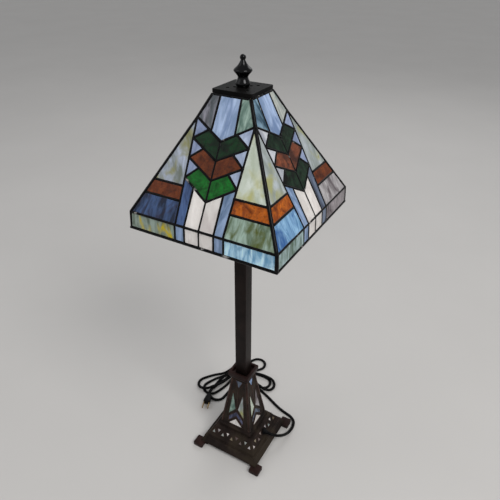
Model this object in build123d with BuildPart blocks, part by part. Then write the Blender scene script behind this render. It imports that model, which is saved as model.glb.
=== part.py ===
from build123d import *
import os
from math import cos, hypot, radians, sin, tan

# A table lamp with a square stained glass shade on a slender square post and a pierced, glazed base.
# Millimetres, +Z up. The origin is the centre of the base on the table. The front face looks along -Y.

os.makedirs("parts", exist_ok=True)

# ---------------------------------------------------------------- driving dimensions
SIDES = 4

# Shade: (half width, height) of the middle of the glass, down one face.
CROWN_TOP = (30.6, 762.3)
CROWN_TIP = (61.3, 702.8)
FIELD_TOP = (48.3, 728.0)
KNEE = (128.0, 587.0)
RIM = (129.3, 561.7)
GLASS = 3.0
CAME = 5.0
LINE = 3.5  # width of a solder line between two panes
RIDGE_R = 3.0
SEAM_R = 2.6
RIM_WIDTH, RIM_HEIGHT = 5.0, 4.5

# Pattern of one face, down the slope from the top of the field.
FIELD_LENGTH = hypot(KNEE[0] - FIELD_TOP[0], FIELD_TOP[1] - KNEE[1])
TIPS = (29.0, 57.0, 86.0, 118.0)  # where the chevron lines cross the centre line
ARMS = (0.0, 31.0, 60.0, 90.0)  # where they meet the strip lines
CUTS = (23.5, 25.0, 25.0)  # where the end of each chevron's arm is cut
STRIP_TOP, STRIP_LOW = 48.3, 42.0  # half distance between the strip lines
WHITE_HALF = 26.0
BAND_TOP, BAND_LOW = 103.0, 126.0
CROWN_SPLIT_TOP, CROWN_SPLIT_LOW = 17.5, 20.0
EDGE = 2.7  # from a ridge, knee or rim to the outer line of the panes

# Cap, finial and harp
CAP_HALF, CAP_LOW, CAP_HIGH, CAP_PLATE = 33.3, 762.5, 768.0, 2.0
VENT_R, VENT_AT = 2.6, (12.5, 23.0)
STUD_R, STUD_TOP = 3.1, 782.0
WIRE_R = 2.2
PRONG_X, PRONG_TOP = 27.0, 604.0

# Post and its fittings
POST_HALF, POST_WALL, POST_LOW, POST_HIGH = 11.8, 1.5, 195.0, 590.0
NIPPLE_R, NIPPLE_BORE = 5.0, 3.6
SADDLE_LOW, SADDLE_HIGH = 594.0, 597.0

# Lantern body and its collar
LANTERN_TOP = (17.6, 184.0)
LANTERN_LOW = (35.6, 59.0)
LANTERN_WALL = 3.6
COLLAR_HALF, COLLAR_HIGH, COLLAR_RECESS, COLLAR_FLOOR = 22.7, 203.0, 17.5, 195.0

# Plinth
BAND_UPPER = (44.5, 50.0)
BAND_LOWER = (58.2, 26.1)
FASCIA_TOP = (62.7, 21.5)
FASCIA_LOW = (68.9, 9.5)
FLANGE_HIGH = 24.0
TRIANGLES, TRIANGLE_PITCH = 9, 11.0
FOOT_OUT, FOOT_IN, FOOT_LOW = 80.4, 58.8, 1.5
SCREW_AT, SCREW_R, SCREW_HOLE_R, SCREW_HEAD_R = 60.0, 2.0, 2.2, 3.8
BOSS_R, BOSS_HEIGHT = 4.5, 5.5
PLATE_HIGH = FASCIA_LOW[1] + 2.0

# Cord
CORD_R = 3.0
EXIT_Y = 2.0


# ---------------------------------------------------------------- helpers
def face_plane(side, top, low):
    """Plane of one leaning face: the middle of its top line, x along the line, y up the slope, z outwards."""
    turn = radians(90 * side - 90)
    out_x, out_y = cos(turn), sin(turn)
    rise, run = top[1] - low[1], low[0] - top[0]
    return Plane(
        origin=(out_x * top[0], out_y * top[0], top[1]),
        x_dir=(-out_y, out_x, 0),
        z_dir=(out_x * rise, out_y * rise, run),
    )


def inset(outline, gap):
    """Move each edge of a clockwise or anticlockwise outline inwards by the gap."""
    count = len(outline)
    twice_area = sum(
        outline[i - 1][0] * outline[i][1] - outline[i][0] * outline[i - 1][1] for i in range(count)
    )
    way = 1 if twice_area > 0 else -1
    lines = []
    for i in range(count):
        (x0, y0), (x1, y1) = outline[i - 1], outline[i]
        length = hypot(x1 - x0, y1 - y0)
        nx, ny = -way * (y1 - y0) / length, way * (x1 - x0) / length
        lines.append((nx, ny, nx * x0 + ny * y0 + gap))
    moved = []
    for i in range(count):
        a, b, c = lines[i]
        d, e, f = lines[(i + 1) % count]
        det = a * e - b * d
        moved.append(((c * e - b * f) / det, (a * f - c * d) / det))
    return moved


def draw(outline):
    """Draw an outline of (across, down) points in the present sketch, where y runs up the slope."""
    Polygon(*[(u, -s) for u, s in outline], align=None)


def mirrored(outlines):
    """The outlines and their mirror images about the centre line."""
    return outlines + [[(-u, s) for u, s in outline] for outline in outlines]


def frustum(low, high, mode=Mode.ADD):
    """A square frustum between two (half width, height) levels, in the present part."""
    sections = []
    for half, height in (low, high):
        with BuildSketch(Plane.XY.offset(height)) as section:
            Rectangle(2 * half, 2 * half)
        sections.append(section.sketch)
    loft(sections, ruled=True, mode=mode)


def square_block(half, low, high, mode=Mode.ADD):
    """A square block between two heights, in the present part."""
    with BuildSketch(Plane.XY.offset(low)) as outline:
        Rectangle(2 * half, 2 * half)
    extrude(outline.sketch, amount=high - low, mode=mode)


def disc(radius, low, high, mode=Mode.ADD):
    """A round block on the lamp's axis between two heights, in the present part."""
    with BuildSketch(Plane.XY.offset(low)) as outline:
        Circle(radius)
    extrude(outline.sketch, amount=high - low, mode=mode)


def turned(points):
    """A solid turned about the lamp's axis from a closed (radius, height) outline, in the present part."""
    with BuildSketch(Plane.XZ) as outline:
        Polygon(*points, align=None)
    revolve(outline.sketch, axis=Axis.Z)


# ---------------------------------------------------------------- shade pattern
def strip_u(s):
    return STRIP_TOP + (STRIP_LOW - STRIP_TOP) * s / FIELD_LENGTH


def ridge_u(s):
    return FIELD_TOP[0] + (KNEE[0] - FIELD_TOP[0]) * s / FIELD_LENGTH


def edge_u(s):
    """Outer line of the panes beside a ridge."""
    return ridge_u(s) - EDGE


def chevron_s(k, u):
    """Distance down the slope of chevron line k at a distance u from the centre line."""
    return TIPS[k] + (ARMS[k] - TIPS[k]) * u / strip_u(ARMS[k])


def crown_s(s):
    """The same height as a field distance s, measured down the crown's own slope from its top."""
    height = FIELD_TOP[1] - s * (FIELD_TOP[1] - KNEE[1]) / FIELD_LENGTH
    slope = hypot(CROWN_TIP[0] - CROWN_TOP[0], CROWN_TOP[1] - CROWN_TIP[1]) / (CROWN_TOP[1] - CROWN_TIP[1])
    return (CROWN_TOP[1] - height) * slope


def crown_ridge_u(s):
    reach = crown_s(TIPS[0])
    return CROWN_TOP[0] + (CROWN_TIP[0] - CROWN_TOP[0]) * s / reach


FIELD_END = FIELD_LENGTH - 2.0
WEDGE_APEX = EDGE * FIELD_LENGTH / (KNEE[0] - FIELD_TOP[0] + STRIP_TOP - STRIP_LOW)
WHITE_TOP = chevron_s(3, WHITE_HALF)
SKIRT_LENGTH = hypot(RIM[0] - KNEE[0], KNEE[1] - RIM[1])
SKIRT_START, SKIRT_END = 2.0, SKIRT_LENGTH - 0.4

chevrons, spandrels = [], []
for k, cut in enumerate(CUTS):
    arm_end = (strip_u(ARMS[k + 1]), ARMS[k + 1])
    cut_point = (cut, chevron_s(k, cut))
    chevrons.append([(0, TIPS[k]), cut_point, arm_end, (0, TIPS[k + 1])])
    start = max(ARMS[k], 2.4)
    spandrels.append([cut_point, (strip_u(start) - 1.2 * (k == 0), start), arm_end])

white_pane = [(0, TIPS[3]), (WHITE_HALF, WHITE_TOP), (WHITE_HALF, FIELD_END), (0, FIELD_END)]
strip_pane = [
    (WHITE_HALF, WHITE_TOP),
    (strip_u(ARMS[3]), ARMS[3]),
    (strip_u(FIELD_END), FIELD_END),
    (WHITE_HALF, FIELD_END),
]
wedge_pane = [
    (strip_u(WEDGE_APEX), WEDGE_APEX),
    (edge_u(BAND_TOP), BAND_TOP),
    (strip_u(BAND_TOP), BAND_TOP),
]
band_pane = [
    (strip_u(BAND_TOP), BAND_TOP),
    (edge_u(BAND_TOP), BAND_TOP),
    (edge_u(BAND_LOW), BAND_LOW),
    (strip_u(BAND_LOW), BAND_LOW),
]
low_pane = [
    (strip_u(BAND_LOW), BAND_LOW),
    (edge_u(BAND_LOW), BAND_LOW),
    (edge_u(FIELD_END), FIELD_END),
    (strip_u(FIELD_END), FIELD_END),
]

crown_node, crown_tip = crown_s(0.0), crown_s(TIPS[0])
crown_cut = crown_s(chevron_s(0, CROWN_SPLIT_LOW))
centre_pane = [
    (-CROWN_SPLIT_TOP, 1.5),
    (CROWN_SPLIT_TOP, 1.5),
    (CROWN_SPLIT_LOW, crown_cut),
    (0, crown_tip),
    (-CROWN_SPLIT_LOW, crown_cut),
]
side_pane = [
    (CROWN_SPLIT_TOP, 1.5),
    (CROWN_TOP[0] - EDGE, 1.5),
    (crown_ridge_u(crown_node) - EDGE, crown_node + 1.0),
    (CROWN_SPLIT_LOW, crown_cut),
]

small_skirt = [(WHITE_HALF, SKIRT_START), (43, SKIRT_START), (43, SKIRT_END), (WHITE_HALF, SKIRT_END)]
white_skirt = [(0, SKIRT_START), (WHITE_HALF, SKIRT_START), (WHITE_HALF, SKIRT_END), (0, SKIRT_END)]
corner_skirt = [
    (43, SKIRT_START),
    (KNEE[0] - EDGE, SKIRT_START),
    (RIM[0] - EDGE, SKIRT_END),
    (43, SKIRT_END),
]

# The three flat regions of a face: top level, bottom level, outline, and its panes by node name.
REGIONS = {
    "crown": (
        CROWN_TOP,
        CROWN_TIP,
        [
            (-CROWN_TOP[0] + RIDGE_R, 1.5),
            (CROWN_TOP[0] - RIDGE_R, 1.5),
            (crown_ridge_u(crown_node) - RIDGE_R - 0.4, crown_node),
            (0, crown_tip - 0.2),
            (-crown_ridge_u(crown_node) + RIDGE_R + 0.4, crown_node),
        ],
        {"glass_crown_centres": [centre_pane], "glass_crown_sides": mirrored([side_pane])},
    ),
    "field": (
        FIELD_TOP,
        KNEE,
        [
            (-ridge_u(1.8) + RIDGE_R + 0.5, 1.8),
            (0, TIPS[0] + 0.2),
            (ridge_u(1.8) - RIDGE_R - 0.5, 1.8),
            (ridge_u(FIELD_LENGTH - SEAM_R) - RIDGE_R - 0.5, FIELD_LENGTH - SEAM_R),
            (-ridge_u(FIELD_LENGTH - SEAM_R) + RIDGE_R + 0.5, FIELD_LENGTH - SEAM_R),
        ],
        {
            "glass_green": mirrored([chevrons[0], chevrons[2]]),
            "glass_amber": mirrored([chevrons[1], band_pane]),
            "glass_spandrels": mirrored(spandrels),
            "glass_white": mirrored([white_pane]),
            "glass_strips": mirrored([strip_pane]),
            "glass_wedges": mirrored([wedge_pane]),
            "glass_low_bands": mirrored([low_pane]),
        },
    ),
    "skirt": (
        KNEE,
        RIM,
        [
            (-KNEE[0] + RIDGE_R + 0.1, SEAM_R),
            (KNEE[0] - RIDGE_R - 0.1, SEAM_R),
            (RIM[0] - RIDGE_R - 0.1, SKIRT_LENGTH - 0.15),
            (-RIM[0] + RIDGE_R + 0.1, SKIRT_LENGTH - 0.15),
        ],
        {
            "glass_white": mirrored([white_skirt]),
            "glass_strips": mirrored([small_skirt]),
            "glass_skirt_corners": mirrored([corner_skirt]),
        },
    ),
}

# ---------------------------------------------------------------- shade: came, glass and seams
for side, face in enumerate(("front", "right", "back", "left")):
    with BuildPart() as came:
        for top, low, outline, panes in REGIONS.values():
            plane = face_plane(side, top, low)
            with BuildSketch(plane):
                draw(outline)
            extrude(amount=CAME / 2, both=True)
            for group in panes.values():
                for pane in group:
                    with BuildSketch(plane):
                        draw(inset(pane, LINE / 2))
                    extrude(amount=CAME, both=True, mode=Mode.SUBTRACT)
    came.part.label = f"came_{face}"
    export_step(came.part, f"parts/came_{face}.step")

glass_nodes = sorted({name for region in REGIONS.values() for name in region[3]})
for name in glass_nodes:
    with BuildPart() as glass:
        for top, low, outline, panes in REGIONS.values():
            for side in range(SIDES):
                plane = face_plane(side, top, low)
                for pane in panes.get(name, []):
                    with BuildSketch(plane):
                        draw(inset(pane, LINE / 2))
                    extrude(amount=GLASS / 2, both=True)
    glass.part.label = name
    export_step(glass.part, f"parts/{name}.step")

RIDGE_STATIONS = (
    (CROWN_TOP[0] + 1.3, CROWN_TOP[1] - 2.5),
    FIELD_TOP,
    KNEE,
    (RIM[0], RIM[1] + 0.25),
)
with BuildPart() as solder_beads:
    for side in range(SIDES):
        turn = radians(90 * side + 45)
        points = [Vector(cos(turn) * 2**0.5 * h, sin(turn) * 2**0.5 * h, z) for h, z in RIDGE_STATIONS]
        for start, end in zip(points, points[1:]):
            with BuildSketch(Plane(origin=start, z_dir=end - start)):
                Circle(RIDGE_R)
            extrude(amount=(end - start).length)
        with Locations(*points[1:3]):
            Sphere(RIDGE_R)
        plane = face_plane(side, KNEE, RIM)
        reach = KNEE[0] - RIDGE_R - 0.1
        with BuildSketch(Plane(origin=plane.from_local_coords((-reach, 0, 0)), z_dir=plane.x_dir)):
            Circle(SEAM_R - 0.05)
        extrude(amount=2 * reach)
solder_beads.part.label = "solder_beads"
export_step(solder_beads.part, "parts/solder_beads.step")

with BuildPart() as rim_bead:
    outer, inner = RIM[0] + RIM_WIDTH / 2, RIM[0] - RIM_WIDTH / 2
    for side in range(SIDES):
        with BuildSketch(Plane.XY.offset(RIM[1] - RIM_HEIGHT).rotated((0, 0, 90 * side))):
            with BuildLine():
                Polyline([(-outer, -outer), (outer, -outer), (inner, -inner), (-inner, -inner)], close=True)
            make_face()
        extrude(amount=RIM_HEIGHT)
rim_bead.part.label = "rim_bead"
export_step(rim_bead.part, "parts/rim_bead.step")

# ---------------------------------------------------------------- shade cap and finial
with BuildPart() as shade_cap:
    square_block(CAP_HALF, CAP_LOW, CAP_HIGH)
    fillet(shade_cap.edges().filter_by(Axis.Z), radius=3)
    fillet(shade_cap.faces().sort_by(Axis.Z)[-1].edges(), radius=0.9)
    square_block(CAP_HALF - 1.5, CAP_LOW, CAP_HIGH - CAP_PLATE, mode=Mode.SUBTRACT)
    with BuildSketch(Plane.XY.offset(CAP_LOW)):
        Circle(STUD_R + 0.4)
        for reach in VENT_AT:
            with PolarLocations(reach, SIDES, start_angle=45):
                Circle(VENT_R)
    extrude(amount=CAP_HIGH - CAP_LOW, mode=Mode.SUBTRACT)
shade_cap.part.label = "shade_cap"
export_step(shade_cap.part, "parts/shade_cap.step")

FINIAL_RINGS = (
    (8.6, 0.0),
    (10.8, 4.8),
    (7.75, 14.0),
    (13.85, 23.0),
    (8.6, 28.8),
    (5.4, 33.0),
    (3.0, 38.0),
)
FINIAL_BALL_R, FINIAL_BALL_AT = 4.5, 40.4
with BuildPart() as finial:
    with BuildSketch(Plane.XZ):
        with BuildLine():
            side_curve = Spline([(r, CAP_HIGH + z) for r, z in FINIAL_RINGS])
            Polyline(side_curve @ 1, (0, CAP_HIGH + FINIAL_RINGS[-1][1]), (0, CAP_HIGH), side_curve @ 0)
        make_face()
    revolve(axis=Axis.Z)
    with Locations((0, 0, CAP_HIGH + FINIAL_BALL_AT)):
        Sphere(FINIAL_BALL_R)
    disc(STUD_R + 0.2, CAP_HIGH, STUD_TOP + 1.5, mode=Mode.SUBTRACT)
finial.part.label = "finial"
export_step(finial.part, "parts/finial.step")

# ---------------------------------------------------------------- harp
HUB_R, HUB_LOW, HUB_HIGH = 8.0, 757.0, CAP_HIGH - CAP_PLATE
HARP_POINTS = [(PRONG_X, 604), (PRONG_X, 629), (43, 662), (43.5, 700), (33, 738), (5, 760.5)]
HARP_FILLETS = [24, 30, 34, 16]

with BuildPart() as harp:
    for way in (1, -1):
        with BuildLine() as leg:
            FilletPolyline([(way * x, 0, z) for x, z in HARP_POINTS], radius=HARP_FILLETS)
        with BuildSketch(Plane(origin=leg.line @ 0, z_dir=leg.line % 0)):
            Circle(WIRE_R)
        sweep(path=leg.line)
    disc(HUB_R, HUB_LOW, HUB_HIGH)
harp.part.label = "harp"
export_step(harp.part, "parts/harp.step")

with BuildPart() as harp_stud:
    disc(STUD_R, HUB_HIGH, STUD_TOP)
harp_stud.part.label = "harp_stud"
export_step(harp_stud.part, "parts/harp_stud.step")

with BuildPart() as harp_saddle:
    with BuildSketch(Plane.XY.offset(SADDLE_LOW)):
        SlotOverall(2 * PRONG_X + 9, 14)
        Circle(NIPPLE_R + 0.1, mode=Mode.SUBTRACT)
    extrude(amount=SADDLE_HIGH - SADDLE_LOW)
    with BuildSketch(Plane.XY.offset(SADDLE_HIGH)):
        with Locations((PRONG_X, 0), (-PRONG_X, 0)):
            Circle(WIRE_R)
    extrude(amount=PRONG_TOP - SADDLE_HIGH)
harp_saddle.part.label = "harp_saddle"
export_step(harp_saddle.part, "parts/harp_saddle.step")

FERRULE_HEIGHT = 13.0
for name, way in (("harp_ferrule_right", 1), ("harp_ferrule_left", -1)):
    with BuildPart() as ferrule:
        with BuildSketch(Plane.XY.offset(SADDLE_HIGH + 0.3)):
            with Locations((way * PRONG_X, 0)):
                Circle(WIRE_R + 1.8)
                Circle(WIRE_R + 0.25, mode=Mode.SUBTRACT)
        extrude(amount=FERRULE_HEIGHT)
    ferrule.part.label = name
    export_step(ferrule.part, f"parts/{name}.step")

# ---------------------------------------------------------------- socket, switch and bulb
SHELL_R, SHELL_WALL, SHELL_LOW, SHELL_HIGH = 16.0, 0.8, 613.0, 649.0
SWITCH_Z, STEM_R = 619.5, 1.6
THREAD_R, THREAD_WALL, THREAD_LOW, THREAD_HIGH, CONTACT_R = 13.3, 0.6, 627.0, 648.0, 3.0
BULB_BASE_R, BULB_LOW, BULB_NECK, BULB_R, BULB_CENTRE = 13.05, 629.0, 653.0, 24.0, 693.0

with BuildPart() as socket_cap:
    turned([
        (NIPPLE_R, 597), (7, 597), (7, 601), (12, 603), (SHELL_R, 608), (SHELL_R, SHELL_LOW),
        (SHELL_R - SHELL_WALL, SHELL_LOW), (SHELL_R - SHELL_WALL, 608.5), (11.7, 604), (NIPPLE_R, 602),
    ])
socket_cap.part.label = "socket_cap"
export_step(socket_cap.part, "parts/socket_cap.step")

with BuildPart() as socket_shell:
    turned([
        (SHELL_R - SHELL_WALL, SHELL_LOW), (SHELL_R, SHELL_LOW), (SHELL_R, SHELL_HIGH),
        (SHELL_R - SHELL_WALL, SHELL_HIGH),
    ])
    with BuildSketch(Plane.XZ.offset(SHELL_R - 4)):
        with Locations((0, SWITCH_Z)):
            Circle(STEM_R + 1.2)
    extrude(amount=8, mode=Mode.SUBTRACT)
socket_shell.part.label = "socket_shell"
export_step(socket_shell.part, "parts/socket_shell.step")

with BuildPart() as socket_liner:
    turned([
        (SHELL_R - SHELL_WALL - 0.9, SHELL_LOW), (SHELL_R - SHELL_WALL - 0.05, SHELL_LOW),
        (SHELL_R - SHELL_WALL - 0.05, SHELL_HIGH + 1), (SHELL_R - SHELL_WALL - 0.9, SHELL_HIGH + 1),
    ])
    with BuildSketch(Plane.XZ.offset(SHELL_R - 4)):
        with Locations((0, SWITCH_Z)):
            Circle(STEM_R + 0.9)
    extrude(amount=8, mode=Mode.SUBTRACT)
socket_liner.part.label = "socket_liner"
export_step(socket_liner.part, "parts/socket_liner.step")

with BuildPart() as switch_block:
    disc(13.6, SHELL_LOW, THREAD_LOW)
    with BuildSketch(Plane.XZ.offset(8)):
        with Locations((0, SWITCH_Z)):
            Circle(STEM_R + 0.2)
    extrude(amount=8, mode=Mode.SUBTRACT)
switch_block.part.label = "switch_block"
export_step(switch_block.part, "parts/switch_block.step")

with BuildPart() as socket_contacts:
    turned([
        (THREAD_R, THREAD_LOW), (THREAD_R + THREAD_WALL, THREAD_LOW),
        (THREAD_R + THREAD_WALL, THREAD_HIGH), (THREAD_R, THREAD_HIGH),
    ])
    disc(CONTACT_R, THREAD_LOW, BULB_LOW - 0.3)
socket_contacts.part.label = "socket_contacts"
export_step(socket_contacts.part, "parts/socket_contacts.step")

with BuildPart() as switch_stem:
    with BuildSketch(Plane.XZ.offset(9)):
        with Locations((0, SWITCH_Z)):
            Circle(STEM_R)
    extrude(amount=17)
switch_stem.part.label = "switch_stem"
export_step(switch_stem.part, "parts/switch_stem.step")

with BuildPart() as switch_key:
    with BuildSketch(Plane.XZ.offset(26)):
        with Locations((0, SWITCH_Z)):
            Circle(3.4)
    extrude(amount=2.5)
    with BuildSketch(Plane.YZ.offset(-1.6)):
        with Locations((-34, SWITCH_Z)):
            RectangleRounded(11, 11, 3)
    extrude(amount=3.2)
switch_key.part.label = "switch_key"
export_step(switch_key.part, "parts/switch_key.step")

with BuildPart() as bulb_base:
    disc(BULB_BASE_R, BULB_LOW + 3, BULB_NECK)
    turned([(0, BULB_LOW), (5.5, BULB_LOW), (BULB_BASE_R, BULB_LOW + 3), (0, BULB_LOW + 3)])
bulb_base.part.label = "bulb_base"
export_step(bulb_base.part, "parts/bulb_base.step")

with BuildPart() as bulb_glass:
    with BuildSketch(Plane.XZ):
        with BuildLine():
            neck = Spline(
                (12.4, BULB_NECK), (14.5, BULB_NECK + 10), (BULB_R, BULB_CENTRE),
                tangents=((0, 1), (0, 1)),
            )
            dome = CenterArc((0, BULB_CENTRE), BULB_R, 0, 90)
            Polyline(dome @ 1, (0, BULB_NECK), neck @ 0)
        make_face()
    revolve(axis=Axis.Z)
bulb_glass.part.label = "bulb_glass"
export_step(bulb_glass.part, "parts/bulb_glass.step")

# ---------------------------------------------------------------- post and its fittings
with BuildPart() as post:
    square_block(POST_HALF, POST_LOW, POST_HIGH)
    fillet(post.edges().filter_by(Axis.Z), radius=1.2)
    square_block(POST_HALF - POST_WALL, POST_LOW, POST_HIGH, mode=Mode.SUBTRACT)
post.part.label = "post"
export_step(post.part, "parts/post.step")

PLUG_HEIGHT = 8.0
with BuildPart() as post_plugs:
    for low in (POST_LOW, POST_HIGH - PLUG_HEIGHT):
        square_block(POST_HALF - POST_WALL - 0.05, low, low + PLUG_HEIGHT)
        disc(NIPPLE_R, low, low + PLUG_HEIGHT, mode=Mode.SUBTRACT)
post_plugs.part.label = "post_plugs"
export_step(post_plugs.part, "parts/post_plugs.step")

with BuildPart() as threaded_nipples:
    for low, high in ((170.0, 206.0), (579.0, 604.0)):
        disc(NIPPLE_R, low, high)
        disc(NIPPLE_BORE, low, high, mode=Mode.SUBTRACT)
threaded_nipples.part.label = "threaded_nipples"
export_step(threaded_nipples.part, "parts/threaded_nipples.step")

with BuildPart() as post_cap:
    square_block(POST_HALF + 2.4, POST_HIGH, SADDLE_LOW)
    chamfer(post_cap.faces().sort_by(Axis.Z)[-1].edges(), length=1.2)
    disc(NIPPLE_R, POST_HIGH, SADDLE_LOW, mode=Mode.SUBTRACT)
post_cap.part.label = "post_cap"
export_step(post_cap.part, "parts/post_cap.step")

NUT_LOW, NUT_HIGH = 173.0, 178.0
with BuildPart() as base_nut_and_washer:
    with BuildSketch(Plane.XY.offset(NUT_LOW)):
        RegularPolygon(8, 6)
        Circle(NIPPLE_R, mode=Mode.SUBTRACT)
    extrude(amount=NUT_HIGH - NUT_LOW - 0.05)
    disc(9, NUT_HIGH, LANTERN_TOP[1] - 4)
    disc(NIPPLE_R + 0.2, NUT_HIGH, LANTERN_TOP[1] - 4, mode=Mode.SUBTRACT)
base_nut_and_washer.part.label = "base_nut_and_washer"
export_step(base_nut_and_washer.part, "parts/base_nut_and_washer.step")

# ---------------------------------------------------------------- collar and lantern body
with BuildPart() as collar:
    frustum(LANTERN_TOP, (COLLAR_HALF, 192))
    square_block(COLLAR_HALF, 192, COLLAR_HIGH)
    square_block(COLLAR_RECESS, COLLAR_FLOOR, COLLAR_HIGH, mode=Mode.SUBTRACT)
    disc(NIPPLE_R + 0.2, LANTERN_TOP[1], COLLAR_FLOOR, mode=Mode.SUBTRACT)
    chamfer(collar.faces().sort_by(Axis.Z)[-1].edges(), length=0.8)
collar.part.label = "collar"
export_step(collar.part, "parts/collar.step")

LANTERN_SLOPE = hypot(LANTERN_LOW[0] - LANTERN_TOP[0], LANTERN_TOP[1] - LANTERN_LOW[1])
LANTERN_WINDOWS = {
    "lantern_glass_kites": [[(-8.5, 3.8), (8.5, 3.8), (0, 23)]],
    "lantern_glass_spires": mirrored([[(12, 33), (2.2, 78), (19, 98)]]),
    "lantern_glass_chevrons": [[(0, 84.5), (17.5, 103), (17.5, 115), (0, 97), (-17.5, 115), (-17.5, 103)]],
    "lantern_glass_gables": [[(0, 103.5), (17.8, 122), (-17.8, 122)]],
}
PANEL = [
    (-LANTERN_TOP[0] + 3.4, 3), (LANTERN_TOP[0] - 3.4, 3),
    (LANTERN_LOW[0] - 4.2, LANTERN_SLOPE - 2.6), (-LANTERN_LOW[0] + 4.2, LANTERN_SLOPE - 2.6),
]
with BuildPart() as lantern_body:
    frustum(LANTERN_LOW, LANTERN_TOP)
    frustum((38.4, 54), (36.4, LANTERN_LOW[1]))
    square_block(38.4, BAND_UPPER[1], 54)
    square_block(LANTERN_LOW[0] - LANTERN_WALL, BAND_UPPER[1], LANTERN_LOW[1], mode=Mode.SUBTRACT)
    frustum(
        (LANTERN_LOW[0] - LANTERN_WALL, LANTERN_LOW[1]),
        (LANTERN_TOP[0] - LANTERN_WALL + 0.6, LANTERN_TOP[1] - 4),
        mode=Mode.SUBTRACT,
    )
    disc(NIPPLE_R + 0.2, LANTERN_TOP[1] - 4, LANTERN_TOP[1], mode=Mode.SUBTRACT)
    for side in range(SIDES):
        plane = face_plane(side, LANTERN_TOP, LANTERN_LOW)
        with BuildSketch(plane):
            draw(PANEL)
        extrude(amount=-0.8, mode=Mode.SUBTRACT)
        for group in LANTERN_WINDOWS.values():
            for pane in group:
                with BuildSketch(plane):
                    draw(pane)
                extrude(amount=-7, mode=Mode.SUBTRACT)
lantern_body.part.label = "lantern_body"
export_step(lantern_body.part, "parts/lantern_body.step")

for name, group in LANTERN_WINDOWS.items():
    with BuildPart() as glass:
        for side in range(SIDES):
            for pane in group:
                with BuildSketch(face_plane(side, LANTERN_TOP, LANTERN_LOW).offset(-1.2)):
                    draw(pane)
                extrude(amount=-2)
    glass.part.label = name
    export_step(glass.part, f"parts/{name}.step")

# ---------------------------------------------------------------- plinth
BAND_SLOPE = hypot(BAND_LOWER[0] - BAND_UPPER[0], BAND_UPPER[1] - BAND_LOWER[1])
EXIT_S = BAND_SLOPE * 0.53
WALL, BAND_RECESS = 4.0, 0.7


def band_windows(side):
    """Small triangles pointing up and down in turn. The cord replaces the middle one on the right face."""
    windows = []
    for i in range(TRIANGLES):
        u = (i - (TRIANGLES - 1) / 2) * TRIANGLE_PITCH
        if side == 1 and i == (TRIANGLES - 1) / 2:
            continue
        upward = [(u, 9.5), (u + 4.2, 18), (u - 4.2, 18)]
        downward = [(u - 4.2, 6), (u + 4.2, 6), (u, 14.5)]
        windows.append(downward if i % 2 else upward)
    return windows


band_plane = face_plane(1, BAND_UPPER, BAND_LOWER)
cord_exit = band_plane.from_local_coords((EXIT_Y, -EXIT_S, 0))
exit_plane = Plane(origin=cord_exit, x_dir=(0, 1, 0), z_dir=(1, 0, 0))
BUSHING_R = 5.2

with BuildPart() as plinth:
    frustum(FASCIA_LOW, FASCIA_TOP)
    square_block(FASCIA_TOP[0], FASCIA_TOP[1], FLANGE_HIGH)
    square_block(BAND_LOWER[0], FLANGE_HIGH, BAND_LOWER[1])
    frustum(BAND_LOWER, BAND_UPPER)
    frustum((FASCIA_LOW[0] - WALL, FASCIA_LOW[1]), (FASCIA_TOP[0] - WALL, FASCIA_TOP[1]), mode=Mode.SUBTRACT)
    frustum(
        (FASCIA_TOP[0] - 2 * WALL, FASCIA_TOP[1]), (BAND_LOWER[0] - WALL, BAND_LOWER[1]), mode=Mode.SUBTRACT
    )
    frustum(
        (BAND_LOWER[0] - WALL, BAND_LOWER[1]), (BAND_UPPER[0] - 2, BAND_UPPER[1] - 3.5), mode=Mode.SUBTRACT
    )
    square_block(29, BAND_UPPER[1] - 3.5, BAND_UPPER[1], mode=Mode.SUBTRACT)
    for side in range(SIDES):
        plane = face_plane(side, BAND_UPPER, BAND_LOWER)
        with BuildSketch(plane):
            draw([(-42, 3), (42, 3), (51.5, BAND_SLOPE - 6), (-51.5, BAND_SLOPE - 6)])
        extrude(amount=-BAND_RECESS, mode=Mode.SUBTRACT)
        for window in band_windows(side):
            with BuildSketch(plane):
                draw(window)
            extrude(amount=-6, mode=Mode.SUBTRACT)
    with BuildSketch(exit_plane):
        Circle(BUSHING_R)
    extrude(amount=8, both=True, mode=Mode.SUBTRACT)
    for radius, height, mode in ((BOSS_R, BOSS_HEIGHT, Mode.ADD), (SCREW_R, BOSS_HEIGHT - 1, Mode.SUBTRACT)):
        with BuildSketch(Plane.XY.offset(PLATE_HIGH)):
            with GridLocations(2 * SCREW_AT, 2 * SCREW_AT, 2, 2):
                Circle(radius)
        extrude(amount=height, mode=mode)
plinth.part.label = "plinth"
export_step(plinth.part, "parts/plinth.step")

with BuildPart() as plinth_glass:
    for side in range(SIDES):
        for window in band_windows(side):
            with BuildSketch(face_plane(side, BAND_UPPER, BAND_LOWER).offset(-1.0)):
                draw(window)
            extrude(amount=-2)
plinth_glass.part.label = "plinth_glass"
export_step(plinth_glass.part, "parts/plinth_glass.step")

foot_middle = (FOOT_OUT + FOOT_IN) / 2
with BuildPart() as corner_feet:
    with BuildSketch(Plane.XY.offset(FOOT_LOW)):
        with GridLocations(2 * foot_middle, 2 * foot_middle, 2, 2):
            RectangleRounded(FOOT_OUT - FOOT_IN, FOOT_OUT - FOOT_IN, 2)
        with GridLocations(2 * SCREW_AT, 2 * SCREW_AT, 2, 2):
            Rectangle(13, 13)
            Circle(SCREW_HOLE_R, mode=Mode.SUBTRACT)
    extrude(amount=FASCIA_LOW[1] - FOOT_LOW)
    with BuildSketch(Plane.XY.offset(FOOT_LOW)):
        with GridLocations(2 * SCREW_AT, 2 * SCREW_AT, 2, 2):
            Circle(SCREW_HEAD_R + 0.2)
    extrude(amount=3, mode=Mode.SUBTRACT)
corner_feet.part.label = "corner_feet"
export_step(corner_feet.part, "parts/corner_feet.step")

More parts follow.
